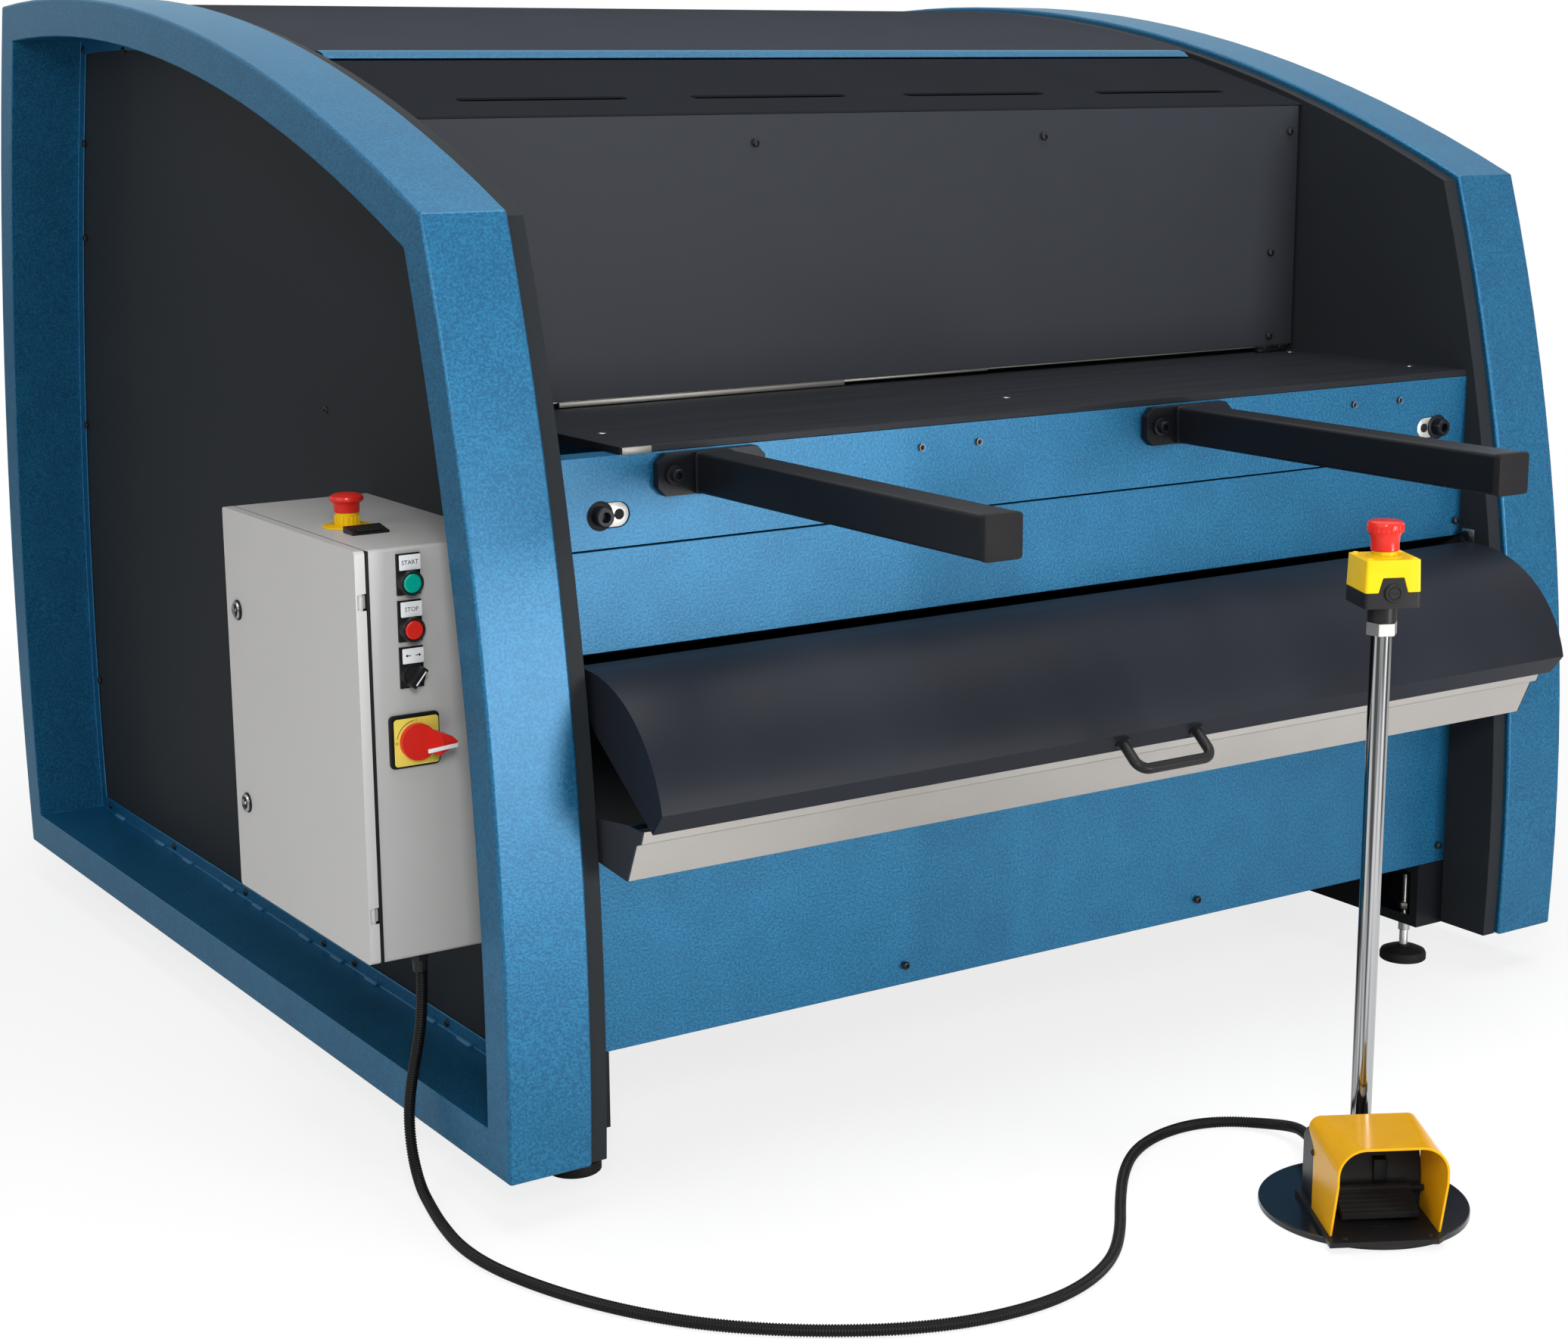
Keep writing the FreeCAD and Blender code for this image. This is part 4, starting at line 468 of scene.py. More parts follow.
class Shape:
    """A piece that grows from parts. Sizes are in millimetres, in one frame."""

    def __init__(self, place=MACHINE):
        self.place = place
        self.mesh = bmesh.new()
        self.paints = []

    def take(self, part, matrix, paint, smooth=True):
        """Close a part, move it to its place and add it in its paint."""
        bmesh.ops.remove_doubles(part, verts=part.verts, dist=MM)
        bmesh.ops.recalc_face_normals(part, faces=part.faces)
        bmesh.ops.transform(part, matrix=matrix, verts=part.verts)
        if paint not in self.paints:
            self.paints.append(paint)
        for face in part.faces:
            face.material_index = self.paints.index(paint)
            face.smooth = smooth
        self.grow(part)

    def grow(self, part):
        """Add the faces of a part, which it uses up."""
        grown = mesh_of(part, "part")
        self.mesh.from_mesh(grown)
        bpy.data.meshes.remove(grown)

    def brick(self, low, high, paint, edge=0.0, matrix=Matrix()):
        """A block between two corners."""
        part = block(low, high)
        soften(part, edge)
        self.take(part, matrix, paint)

    def plate(self, width, height, depth, paint, at, facing, corner, edge, roll=0.0):
        """A plate with round corners that grows from a point the way it faces."""
        part = block((-width / 2, -height / 2, 0), (width / 2, height / 2, depth))
        if corner > 0:
            upright = [side for side in part.edges
                       if abs(side.verts[0].co.z - side.verts[1].co.z) > depth / 2]
            rounded(part, upright, corner, 5)
        soften(part, edge)
        self.take(part, aim(at, facing, roll), paint)

    def ridges(self, count, low, high, paint, at=(0, 0, 0)):
        """Blocks in a ring around an upright."""
        for step in range(count):
            turn = Matrix.Rotation(math.tau * step / count, 4, "Z")
            self.brick(low, high, paint, 0.5, Matrix.Translation(at) @ turn)

    def turned(self, profile, paint, at, facing, steps):
        """A turned part. The profile is a list of (radius, height)."""
        part = spun([(radius, 0, height) for radius, height in profile], UP, steps)
        self.take(part, aim(at, facing), paint)

    def drum(self, radius, depth, paint, at, facing, edge, steps=20):
        """A round bar with a turned edge at its far end."""
        self.turned([(0, 0), (radius, 0), (radius, depth - edge),
                     (radius - edge * 0.3, depth - edge * 0.3), (radius - edge, depth),
                     (0, depth)], paint, at, facing, steps)

    def hexagon(self, radius, depth, paint, at, facing, edge, roll):
        """A hexagon nut or bar."""
        part = bmesh.new()
        bmesh.ops.create_circle(part, cap_ends=True, segments=6, radius=radius)
        grown = bmesh.ops.extrude_face_region(part, geom=part.faces[:])["geom"]
        top = [item for item in grown if isinstance(item, bmesh.types.BMVert)]
        bmesh.ops.translate(part, vec=(0, 0, depth), verts=top)
        bmesh.ops.recalc_face_normals(part, faces=part.faces)
        soften(part, edge, 1)
        self.take(part, aim(at, facing, roll), paint)

    def screw(self, at, facing, radius, paint="moulded_black"):
        """A low round head with a socket."""
        high = radius * 0.55
        self.turned([(0, high * 0.25), (radius * 0.40, high * 0.25),
                     (radius * 0.46, high), (radius * 0.80, high * 0.80),
                     (radius, high * 0.25), (radius, -0.4)], paint, at, facing, 12)

    def cap_bolt(self, at, facing, radius, paint, washer=True):
        """A socket head on a washer."""
        start = radius * 0.15 if washer else 0.0
        if washer:
            self.drum(radius * 1.5, start, paint, at, facing, start * 0.3)
        high = radius * 1.15 + start
        self.turned([(0, start + radius * 0.4), (radius * 0.5, start + radius * 0.4),
                     (radius * 0.54, high), (radius * 0.88, high),
                     (radius, high - radius * 0.14), (radius, start)], paint, at, facing, 16)

    def words(self, text, size, paint, at, facing):
        """Printed words, a hair proud of what they stand on."""
        curve = bpy.data.curves.new("words", "FONT")
        curve.body = text
        curve.size = size
        curve.extrude = 0.06
        curve.align_x = "CENTER"
        curve.align_y = "CENTER"
        curve.resolution_u = 2
        holder = linked("words", curve)
        outline = bpy.data.meshes.new_from_object(holder)
        part = bmesh.new()
        part.from_mesh(outline)
        bpy.data.objects.remove(holder)
        bpy.data.curves.remove(curve)
        bpy.data.meshes.remove(outline)
        self.take(part, aim(at, facing), paint, smooth=False)

    def finish(self, name, body="root", nodes=(), mirrored=False):
        """Close the piece. A mirrored one is doubled across the machine's middle."""
        if mirrored:
            twin = self.mesh.copy()
            bmesh.ops.scale(twin, vec=(-1, 1, 1), verts=twin.verts)
            bmesh.ops.reverse_faces(twin, faces=twin.faces)
            self.grow(twin)
        bmesh.ops.transform(self.mesh, matrix=self.place @ Matrix.Scale(MM, 4),
                            verts=self.mesh.verts)
        data = mesh_of(self.mesh, name)
        for paint in self.paints:
            data.materials.append(paint_of(paint))
        data.set_sharp_from_angle(angle=SHARP)
        settle(linked(name, data), body, nodes)


def panel_screws(name, spots, facing):
    """A mirrored piece made of panel screws, each at its spot."""
    screws = Shape()
    for spot in spots:
        screws.screw(spot, facing, bpy.context.scene.shear_sizes.screw / MM)
    screws.finish(name, mirrored=True)


def finished(node, paint, edge=0.0, segments=2):
    """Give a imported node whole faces, soft edges and its own finish."""
    source = frame["nodes"][node]
    part = bmesh.new()
    part.from_mesh(source.data)
    bmesh.ops.remove_doubles(part, verts=part.verts, dist=SAME_PLACE)
    bmesh.ops.dissolve_limit(part, angle_limit=FLAT, verts=part.verts, edges=part.edges)
    for face in part.faces:
        face.material_index = 0
        face.smooth = True
    data = mesh_of(part, node + "_finish")
    for attribute in [item for item in data.attributes if item.name == "custom_normal"]:
        data.attributes.remove(attribute)
    data.materials.clear()
    data.materials.append(paint_of(paint))
    piece = linked(node + "_finish", data)
    if edge > 0:
        bevel = piece.modifiers.new("soft_edges", "BEVEL")
        bevel.width = edge
        bevel.segments = segments
        bevel.limit_method = "ANGLE"
        bevel.angle_limit = SHARP
        bevel.harden_normals = True
    else:
        data.set_sharp_from_angle(angle=SHARP)
    settle(piece, source["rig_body"], [node])


def finished_all(edge, **paints):
    """Finish several nodes with one rounding. Each is given by its name, with its finish."""
    for node, paint in paints.items():
        finished(node, paint, edge)


class SHEAR_OT_side_frames(Operator):
    """Finish the side frames and plates, with their welds and screws"""

    bl_idname = "shear.side_frames"
    bl_label = "Side frames"

    lip_x = -777
    window_low = 121
    weld_reach = 6
    weld_edge = 2.2
    weld_rows = (1613.6, 1428.0, 1305.1, 1131.7, 1016.1, 840.8, 728.2, 613.4, 436.0, 330.7)
    foot_screws = (1663.8, 1366.8, 1069.5, 777.9, 673.3, 384.2)
    foot_screw_z = 131
    rear_screws = ((1568.7, 1371.3), (1389.8, 1369.0), (1592.6, 1227.4), (1615.5, 1078.8),
                   (1667.7, 774.5), (1682.6, 343.1))
    plate_screw = (-774, 696, 897)

    def execute(self, context):
        sizes = context.scene.shear_sizes
        half = sizes.weld / MM / 2
        for side in ("left", "right"):
            finished(side + "_side_ring", "hammered_blue", sizes.ring_edge, 3)
            finished(side + "_side_plate", "plate_paint", sizes.sheet_edge)
        welds = Shape()
        for y in self.weld_rows:
            welds.brick((self.lip_x - self.weld_reach, y - half, self.window_low - 1),
                        (self.lip_x + 1, y + half, self.window_low + 4), "weld_paint",
                        self.weld_edge)
        welds.finish("frame_welds", mirrored=True)
        spots = [(self.lip_x, y, self.foot_screw_z) for y in self.foot_screws]
        spots += [(self.lip_x, y, z) for y, z in self.rear_screws]
        panel_screws("frame_screws", spots + [self.plate_screw], LEFT)
        return {"FINISHED"}


class SHEAR_OT_covers(Operator):
    """Finish the guard, the vent panel, the trim and the top and rear covers"""

    bl_idname = "shear.covers"
    bl_label = "Covers"

    guard_y = 455
    guard_screws = ((245, 1241), (724, 1240), (692, 1058), (694, 930))
    rear_columns = (250, 725)
    rear_rows = (220, 480, 720, 820, 1080, 1360)
    bow_y = 1752.3
    bow_z = 373.2
    bow_radius = 3828
    # A black strip behind the rear panels' seam: painted shade in the gap.
    seam_shade_strip = ((-746.6, 1725.8, 748), (746.6, 1727.8, 776))

    def rear_y(self, z):
        """Where the bowed back stands at a height."""
        return self.bow_y - ((z - self.bow_z) / self.bow_radius) ** 2 * self.bow_radius / 2

    def execute(self, context):
        finished_all(context.scene.shear_sizes.sheet_edge, front_guard="satin_anthracite",
                     vent_panel="vent_paint", top_cover="top_paint",
                     trim_strip="hammered_blue", rear_upper_panel="satin_anthracite",
                     rear_lower_panel="hammered_blue", hold_down_bar="dull_steel")
        panel_screws("guard_screws", [(x, self.guard_y, z) for x, z in self.guard_screws],
                     FRONT)
        panel_screws("rear_screws", [(x, self.rear_y(z) - 0.2, z)
                                     for z in self.rear_rows for x in self.rear_columns],
                     BACK)
        # A black strip behind the seam of the rear panels: painted shade that keeps the gap
        # dark.
        seam_shade = Shape()
        seam_shade.brick(*self.seam_shade_strip, "black_paint", 0.3)
        seam_shade.finish("rear_seam_backing")
        return {"FINISHED"}


class SHEAR_OT_table(Operator):
    """Finish the table, its beam and the front panels, with bolts and screws"""

    bl_idname = "shear.table"
    bl_label = "Table"

    face_y = 93.6
    table_z = 906
    table_screws = ((-620, 221), (717, 433), (718, 181), (-620, 420), (0, 221))
    table_screw = ((0, -1.6), (2.6, -1.6), (2.8, 0.25), (5.4, 0.25), (5.9, -0.2))
    corner_x = -645
    recess_x = 681
    recess_z = 827
    # Where the painted shade of the recess's threaded hole sits.
    hole_shade_x = 667
    bolt_x = 693
    beam_holes = (-230, -140, 523, 613)
    hole_z = 871
    hole_sleeve = ((3.6, -0.2), (3.8, 0.35), (4.6, 0.35), (4.9, 0))
    screw_spots = ((737, 685.5), (253, 190), (734, 190))
    clamps = (((-551, 457.2, 907.2), (-101, 470, 914.4), 0.8),
              ((-101, 459, 911.2), (150, 470, 914.4), 0.4))
    gauge = ((664, 446, 906), (722, 454.8, 912.6))
    gauge_screws = (676, 708)

    def table_bits(self):
        bits = Shape()
        for x, y in self.table_screws:
            bits.turned(self.table_screw, "zinc_plate", (x, y, self.table_z), UP, 16)
        bits.plate(40, 8.4, 1.6, "dull_steel",
                   (self.corner_x, self.face_y, self.table_z - 4.4), FRONT, 0.6, 0.3)
        bits.finish("table_screws")

    def beam_bits(self):
        seat = self.face_y + 5.2
        recesses = Shape()
        recesses.plate(54, 29, 0.8, "zinc_plate",
                       (self.recess_x, self.face_y + 6, self.recess_z), FRONT, 14.4, 0.2)
        # A black disc in the threaded hole of the recess: painted shade in the hole.
        recesses.drum(6.5, 0.6, "black_rubber", (self.hole_shade_x, seat, self.recess_z), FRONT, 0.1)
        recesses.cap_bolt((self.bolt_x, seat, self.recess_z), FRONT, 12, "black_paint")
        recesses.finish("recess_bolts", mirrored=True)
        holes = Shape()
        for x in self.beam_holes:
            # A black disc 4 mm down each hole: painted shade in the hole.
            holes.drum(4.15, 1, "black_rubber", (x, self.face_y + 4, self.hole_z), FRONT, 0.1,
                       12)
            holes.turned(self.hole_sleeve, "dull_steel", (x, self.face_y, self.hole_z), FRONT,
                         16)
        holes.finish("beam_holes")

    def execute(self, context):
        finished_all(context.scene.shear_sizes.sheet_edge, table_top="blackened_steel",
                     table_beam="hammered_blue", upper_front_panel="hammered_blue",
                     lower_front_panel="hammered_blue")
        finished("chute_slide", "black_paint")
        self.table_bits()
        self.beam_bits()
        panel_screws("panel_screws", [(x, self.face_y, z) for x, z in self.screw_spots], FRONT)
        clamp = Shape()
        for low, high, edge in self.clamps:
            clamp.brick(low, high, "dull_steel", edge)
        clamp.finish("clamp_strip")
        gauge = Shape()
        gauge.brick(*self.gauge, "black_paint", 1.2)
        for x in self.gauge_screws:
            gauge.cap_bolt((x, 447, 912), UP, 3.2, "black_paint", False)
        gauge.finish("edge_gauge")
        return {"FINISHED"}


class SHEAR_OT_arms(Operator):
    """Finish the support arms, with end caps, flange plates and flange bolts"""

    bl_idname = "shear.arms"
    bl_label = "Arms"

    flange_y = 82
    bolt_reach = 54

    def execute(self, context):
        sizes = context.scene.shear_sizes
        for side in ("left", "right"):
            finished(side + "_arm", "black_paint", sizes.sheet_edge)
            low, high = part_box(side + "_arm")
            middle = (low + high) / 2 - MACHINE.translation
            x = middle.x / MM
            z = middle.z / MM
            end = (low.y - MACHINE.translation.y) / MM
            fittings = Shape()
            fittings.plate(49.8, 49.8, 11, "black_rubber", (x, end + 10.5, z), FRONT, 5.2, 1.6)
            fittings.plate(55, 50.4, 4, "black_paint", (x, self.flange_y + 0.2, z), FRONT, 6,
                           1.8)
            for way in (-1, 1):
                fittings.cap_bolt((x + self.bolt_reach * way, self.flange_y - 0.4, z), FRONT,
                                  sizes.bolt / MM, "black_paint")
            fittings.finish(side + "_arm_fittings")
        return {"FINISHED"}


class SHEAR_OT_chute(Operator):
    """Finish the chute cover, its handle and hinges, and the tray"""

    bl_idname = "shear.chute"
    bl_label = "Chute"

    knobs = ((742.2, 9.8, 3.4, 0.8), (745.8, 9.2, 2.6, 0.5))
    knob_y = 80
    knob_z = 662
    knob_plate = ((748.6, 68.5, 652), (749.8, 92, 674))

    def execute(self, context):
        finished("chute_cover", "cover_anthracite", 0.7 * MM)
        finished("chute_handle", "moulded_black")
        finished("chute_tray", "bright_sheet", 0.6 * MM)
        finished("tray_ends", "satin_anthracite", 0.6 * MM)
        finished("cover_hinges", "black_paint", 0.8 * MM)
        knobs = Shape()
        for x, radius, depth, edge in self.knobs:
            knobs.drum(radius, depth, "moulded_black", (x, self.knob_y, self.knob_z), RIGHT,
                       edge, 28)
        knobs.brick(*self.knob_plate, "zinc_plate", 0.3)
        knobs.finish("hinge_knobs", mirrored=True)
        return {"FINISHED"}


class SHEAR_OT_base(Operator):
    """Finish the base rails and build the levelling feet"""

    bl_idname = "shear.base"
    bl_label = "Base"

    foot_x = 723.5
    foot_rows = (147, 1600)
    pad = ((0, 0.2), (33.5, 0.2), (35, 1.5), (35, 10), (33, 14), (24, 18), (12, 20), (9, 20),
           (8, 23), (0, 23))
    thread_turns = 56
    thread_start = 16
    thread_pitch = 2.1
    thread_root = 4.5
    thread_crest = 5.0
    stud_top = 134
    nut = 9.8

    def execute(self, context):
        finished("base_rails", "black_paint", 0.8 * MM)
        thread = [(0, 14)]
        for turn in range(self.thread_turns):
            z = self.thread_start + turn * self.thread_pitch
            thread += [(self.thread_root, z), (self.thread_crest, z + self.thread_pitch / 2)]
        thread += [(4.4, self.stud_top), (0, self.stud_top)]
        feet = Shape()
        for y in self.foot_rows:
            at = (self.foot_x, y, 0)
            feet.turned(self.pad, "black_rubber", at, UP, 40)
            feet.turned(thread, "zinc_plate", at, UP, 12)
            feet.drum(6.3, 30, "zinc_plate", (self.foot_x, y, 16), UP, 0.5)
            feet.hexagon(self.nut, 19.6, "zinc_plate", (self.foot_x, y, 46.2), UP, 0.9, 12)
            feet.hexagon(self.nut, 11, "zinc_plate", (self.foot_x, y, 79), UP, 0.9, 40)
        feet.finish("levelling_feet_finish", nodes=["levelling_feet"],
                    mirrored=True)
        return {"FINISHED"}


class SHEAR_OT_cabinet(Operator):
    """Finish the electric cabinet, its door, hinges, seal and locks; the seal strips also
    paint the shade in the door gap
    """

    bl_idname = "shear.cabinet"
    bl_label = "Cabinet"

    seal_shade_left = -956.8
    seal_shade_right = -953.4
    seal_shade_strips = (((177, 304.6), (184, 800.2)), ((566, 304.6), (575.6, 800.2)),
                   ((184, 304.6), (566, 313)), ((184, 791.6), (566, 800.2)))
    lock_x = -970.65
    lock_y = 543.4
    locks = (("upper", 673.5), ("lower", 421.5))
    lock_rim = ((0, 2.8), (7.4, 2.8), (8.2, 4.2), (9.8, 4.7), (11.2, 3.9), (11.6, 2.4),
                (11.6, 0), (0, 0))
    lock_seal = ((11.6, 0), (13, 0), (13, 1.2), (12.4, 1.8), (11.6, 1.8), (11.6, 0))

    def execute(self, context):
        edge = context.scene.shear_sizes.cabinet_edge
        finished("cabinet_body", "light_grey_coat", edge, 3)
        finished("cabinet_door", "light_grey_coat", edge, 3)
        finished("door_hinges", "light_grey_coat")
        # Black strips in the door gap: the door's gasket, and also painted shade that makes
        # the gap read as a dark line.
        seal_and_shade = Shape()
        for low, high in self.seal_shade_strips:
            seal_and_shade.brick((self.seal_shade_left, *low), (self.seal_shade_right, *high), "black_rubber", 0.4)
        seal_and_shade.finish("door_seal")
        for label, z in self.locks:
            spot = (self.lock_x, self.lock_y, z)
            lock = Shape()
            lock.turned(self.lock_rim, "polished_chrome", spot, LEFT, 32)
            lock.drum(7.4, 3, "black_rubber", spot, LEFT, 0.2)
            lock.drum(2.6, 4.7, "polished_chrome", spot, LEFT, 0.8, 16)
            lock.turned(self.lock_seal, "black_rubber", spot, LEFT, 32)
            lock.finish(label + "_door_lock_finish", body=label + "_lock",
                        nodes=[label + "_door_lock"])
        return {"FINISHED"}


class SHEAR_OT_controls(Operator):
    """Finish the buttons, legends, switches, emergency stop and counter"""

    bl_idname = "shear.controls"
    bl_label = "Controls"

    x = -904.5
    face_y = 174.4
    row_z = (759.4, 704.2, 649.0)
    switch_z = 570.8
    words = ("START", "STOP", "")
    bezel = ((11.8, 6), (12.2, 10), (13.4, 10.4), (14.8, 8.6), (15, 0))
    arrow_shaft = ((-2.6, -0.1, -0.5), (2.6, 0.1, 0.5))
    arrow_head = ((-1.6, -0.1, -1.6), (1.6, 0.1, 1.6))
    pointer_roll = -40
    scale_marks = range(100, 172, 6)
    scale_radius = 25.5
    insert = ((-19, -0.8, -2.4), (19, 0.8, 2.4))
    stop_spot = (-902.5, 348.4, 800.8)
    stop_head = ((0, 23.5), (14.9, 23.5), (14.9, 18.4), (15.5, 18.2), (15.8, 28), (16.8, 30.4),
                 (19.4, 31), (20.6, 33), (20.6, 34.6), (19.6, 37.6), (14, 40.2), (7, 40.8),
                 (0, 40.8))
    stop_ring = ((14.3, 1.8), (24, 1.8), (24.4, 2.6), (16, 3.4), (14.3, 3.4), (14.3, 1.8))
    stop_ridge = ((13.9, -1.3, 3), (15.4, 1.3, 14))
    display_facing = (0, -0.17, 0.98)

    def legends(self):
        legends = Shape()
        front = self.face_y - 3.8
        for z, text in zip(self.row_z, self.words):
            legends.plate(27, 18, 0.7, "moulded_white", (self.x, self.face_y - 3, z + 24),
                          FRONT, 1.2, 0.2)
            legends.words(text, 7.4, "moulded_black", (self.x, front, z + 23.8), FRONT)
        for way in (-1, 1):
            arrow = Matrix.Translation((self.x + way * 5.5, front, self.row_z[2] + 24.5))
            legends.brick(*self.arrow_shaft, "moulded_black", 0, arrow)
            legends.brick(*self.arrow_head, "moulded_black", 0,
                          arrow @ Matrix.Translation((way * 2.4, 0, 0))
                          @ Matrix.Rotation(math.radians(45), 4, "Y")
                          @ Matrix.Scale(0.8, 4))
        for z in self.row_z[:2]:
            legends.turned(self.bezel, "moulded_black", (self.x, self.face_y, z), FRONT, 32)
        legends.finish("legend_plates")
        pointer = Shape()
        pointer.plate(1.6, 20, 0.5, "moulded_white",
                      (self.x, self.face_y - 23.1, self.row_z[2]), FRONT, 0, 0.1,
                      self.pointer_roll)
        pointer.finish("selector_pointer", body="selector")

    def main_switch(self):
        sign = Shape()
        sign.plate(57, 57, 0.7, "sign_yellow", (self.x, self.face_y - 4, self.switch_z), FRONT,
                   4, 0.2)
        for angle in self.scale_marks:
            way = math.radians(angle)
            sign.plate(2.9, 0.7, 0.2, "moulded_black",
                       (self.x + self.scale_radius * math.cos(way), self.face_y - 4.7,
                        self.switch_z + self.scale_radius * math.sin(way)),
                       FRONT, 0, 0, angle + 90)
        front = self.face_y - 4.8
        sign.words("I", 5, "moulded_black", (self.x, front, self.switch_z + 25.3), FRONT)
        sign.words("O", 5, "moulded_black", (self.x - 25.5, front, self.switch_z), FRONT)
        sign.finish("switch_sign")
        insert = Shape()
        insert.brick(*self.insert, "moulded_white", 0.5,
                     Matrix.Translation((self.x + 18, self.face_y - 37.2, self.switch_z - 4.5))
                     @ Matrix.Rotation(math.radians(-4), 4, "Y"))
        insert.finish("switch_insert", body="main_switch")

    def emergency_stop(self):
        head = Shape()
        head.turned(self.stop_head, "moulded_red", self.stop_spot, UP, 48)
        head.finish("cabinet_estop_cap", body="cabinet_estop",
                    nodes=["cabinet_estop_button"])
        collar = Shape()
        collar.ridges(16, *self.stop_ridge, "moulded_lemon", self.stop_spot)
        collar.turned(self.stop_ring, "moulded_lemon", self.stop_spot, UP, 40)
        collar.finish("cabinet_estop_collar")

    def execute(self, context):
        small = 0.7 * MM
        finished_all(small, control_holders="moulded_black", start_button="moulded_green",
                     stop_button="moulded_red", selector_knob="moulded_black",
                     main_switch_plate="moulded_black")
        finished("main_switch_knob", "moulded_red", context.scene.shear_sizes.mould_edge, 3)
        finished_all(small, cabinet_estop_base="moulded_lemon", counter="moulded_black",
                     cabinet_gland="moulded_black")
        self.legends()
        self.main_switch()
        self.emergency_stop()
        display = Shape()
        display.plate(34, 14, 0.5, "black_rubber", (self.stop_spot[0], 286, 806),
                      self.display_facing, 1.5, 0.15)
        display.finish("counter_window")
        return {"FINISHED"}


class SHEAR_OT_pedal(Operator):
    """Finish the pedal, its hood and the disc they stand on"""

    bl_idname = "shear.pedal"
    bl_label = "Pedal"

    lug_x = 56
    lug = ((-5, 30, 14), (5, 36.6, 50))
    switch_web = ((4, -34.2, 36), (20, -33, 78))

    def execute(self, context):
        sizes = context.scene.shear_sizes
        finished("station_disc", "disc_paint", sizes.sheet_edge)
        finished("pedal_base", "moulded_black", 0.8 * MM)
        finished("pedal_housing", "moulded_black", sizes.mould_edge)
        finished("pedal_hood", "moulded_amber", 1.1 * MM, 3)
        finished("treadle", "black_rubber", 0.4 * MM)
        finished("treadle_pin", "black_rubber")
        finished("pedal_gland", "moulded_black", 0.7 * MM)
        bits = Shape(STATION)
        for side in (-1, 1):
            bits.brick(*self.lug, "moulded_black", 2,
                       Matrix.Translation((self.lug_x * side, 0, 0)))
            bits.screw((60 * side, 33, 47), (side, 0, 0.3), 3.4, "zinc_plate")
            bits.screw((50 * side, -108, 13.8), UP, 4, "black_rubber")
            bits.screw((66.2 * side, -20, 84), (side, 0, 0), 4)
        bits.brick(*self.switch_web, "black_paint", 0.3)
        bits.finish("pedal_fixings")
        return {"FINISHED"}


class SHEAR_OT_stop_post(Operator):
    """Finish the pole and the box with the second emergency stop"""

    bl_idname = "shear.stop_post"
    bl_label = "Stop post"

    lid_z = 784.5
    lid_screws = ((-26, -24), (-26, 24), (26, -24), (26, 24))
    lid_screw = ((0, 2), (2.4, 1.8), (4.2, 0.9), (4.8, -0.6))
    ring = ((14.6, 0), (21, 0), (21, 1.4), (17.2, 2.2), (15.2, 2.4), (14.6, 2.4), (14.6, 0))
    ring_ridge = ((14.6, -1.4, 785), (17.6, 1.4, 787.2))
    plug = ((0, 1.3), (6.2, 1.3), (6.8, 0.6), (7.6, 0.6), (8.2, 1.6), (10.2, 1.6), (11, 0.4),
            (11, -1))
    plug_spot = (0, -33.4, 746.4)
    plug_slot = ((-5, -34.9, 745.8), (5, -34.5, 747))
    head_z = 791.5
    head = ((0, 5), (15.5, 5), (15.5, 0.3), (16.2, 0), (16.7, 0.8), (16.5, 8), (17.0, 15),
            (18.6, 20), (20.4, 22.4), (21, 24.4), (21, 31), (19.8, 33.4), (16, 34.4),
            (0, 34.5))
    head_ridge = ((19.9, -0.9, 813.4), (21.5, 0.9, 822.4))

    def execute(self, context):
        finished("station_pole", "polished_chrome")
        finished("pole_nut", "zinc_plate", 0.6 * MM)
        finished("pole_nipple", "moulded_black", 1.0 * MM)
        finished("station_box_base", "moulded_black", 0.9 * MM)
        finished("station_box_lid", "moulded_lemon", 1.4 * MM, 3)
        bits = Shape(POLE)
        for x, y in self.lid_screws:
            bits.turned(self.lid_screw, "moulded_lemon", (x, y, self.lid_z - 0.1), UP, 16)
        bits.turned(self.ring, "moulded_lemon", (0, 0, self.lid_z), UP, 32)
        bits.ridges(12, *self.ring_ridge, "moulded_lemon")
        bits.finish("box_fixings")
        plug = Shape(POLE)
        plug.turned(self.plug, "moulded_black", self.plug_spot, FRONT, 32)
        plug.brick(*self.plug_slot, "black_rubber")
        plug.finish("box_plug")
        button = Shape(POLE)
        button.turned(self.head, "moulded_red", (0, 0, self.head_z), UP, 48)
        button.ridges(24, *self.head_ridge, "moulded_red")
        button.finish("station_estop_cap", body="station_estop",
                      nodes=["station_estop_button"])
        return {"FINISHED"}


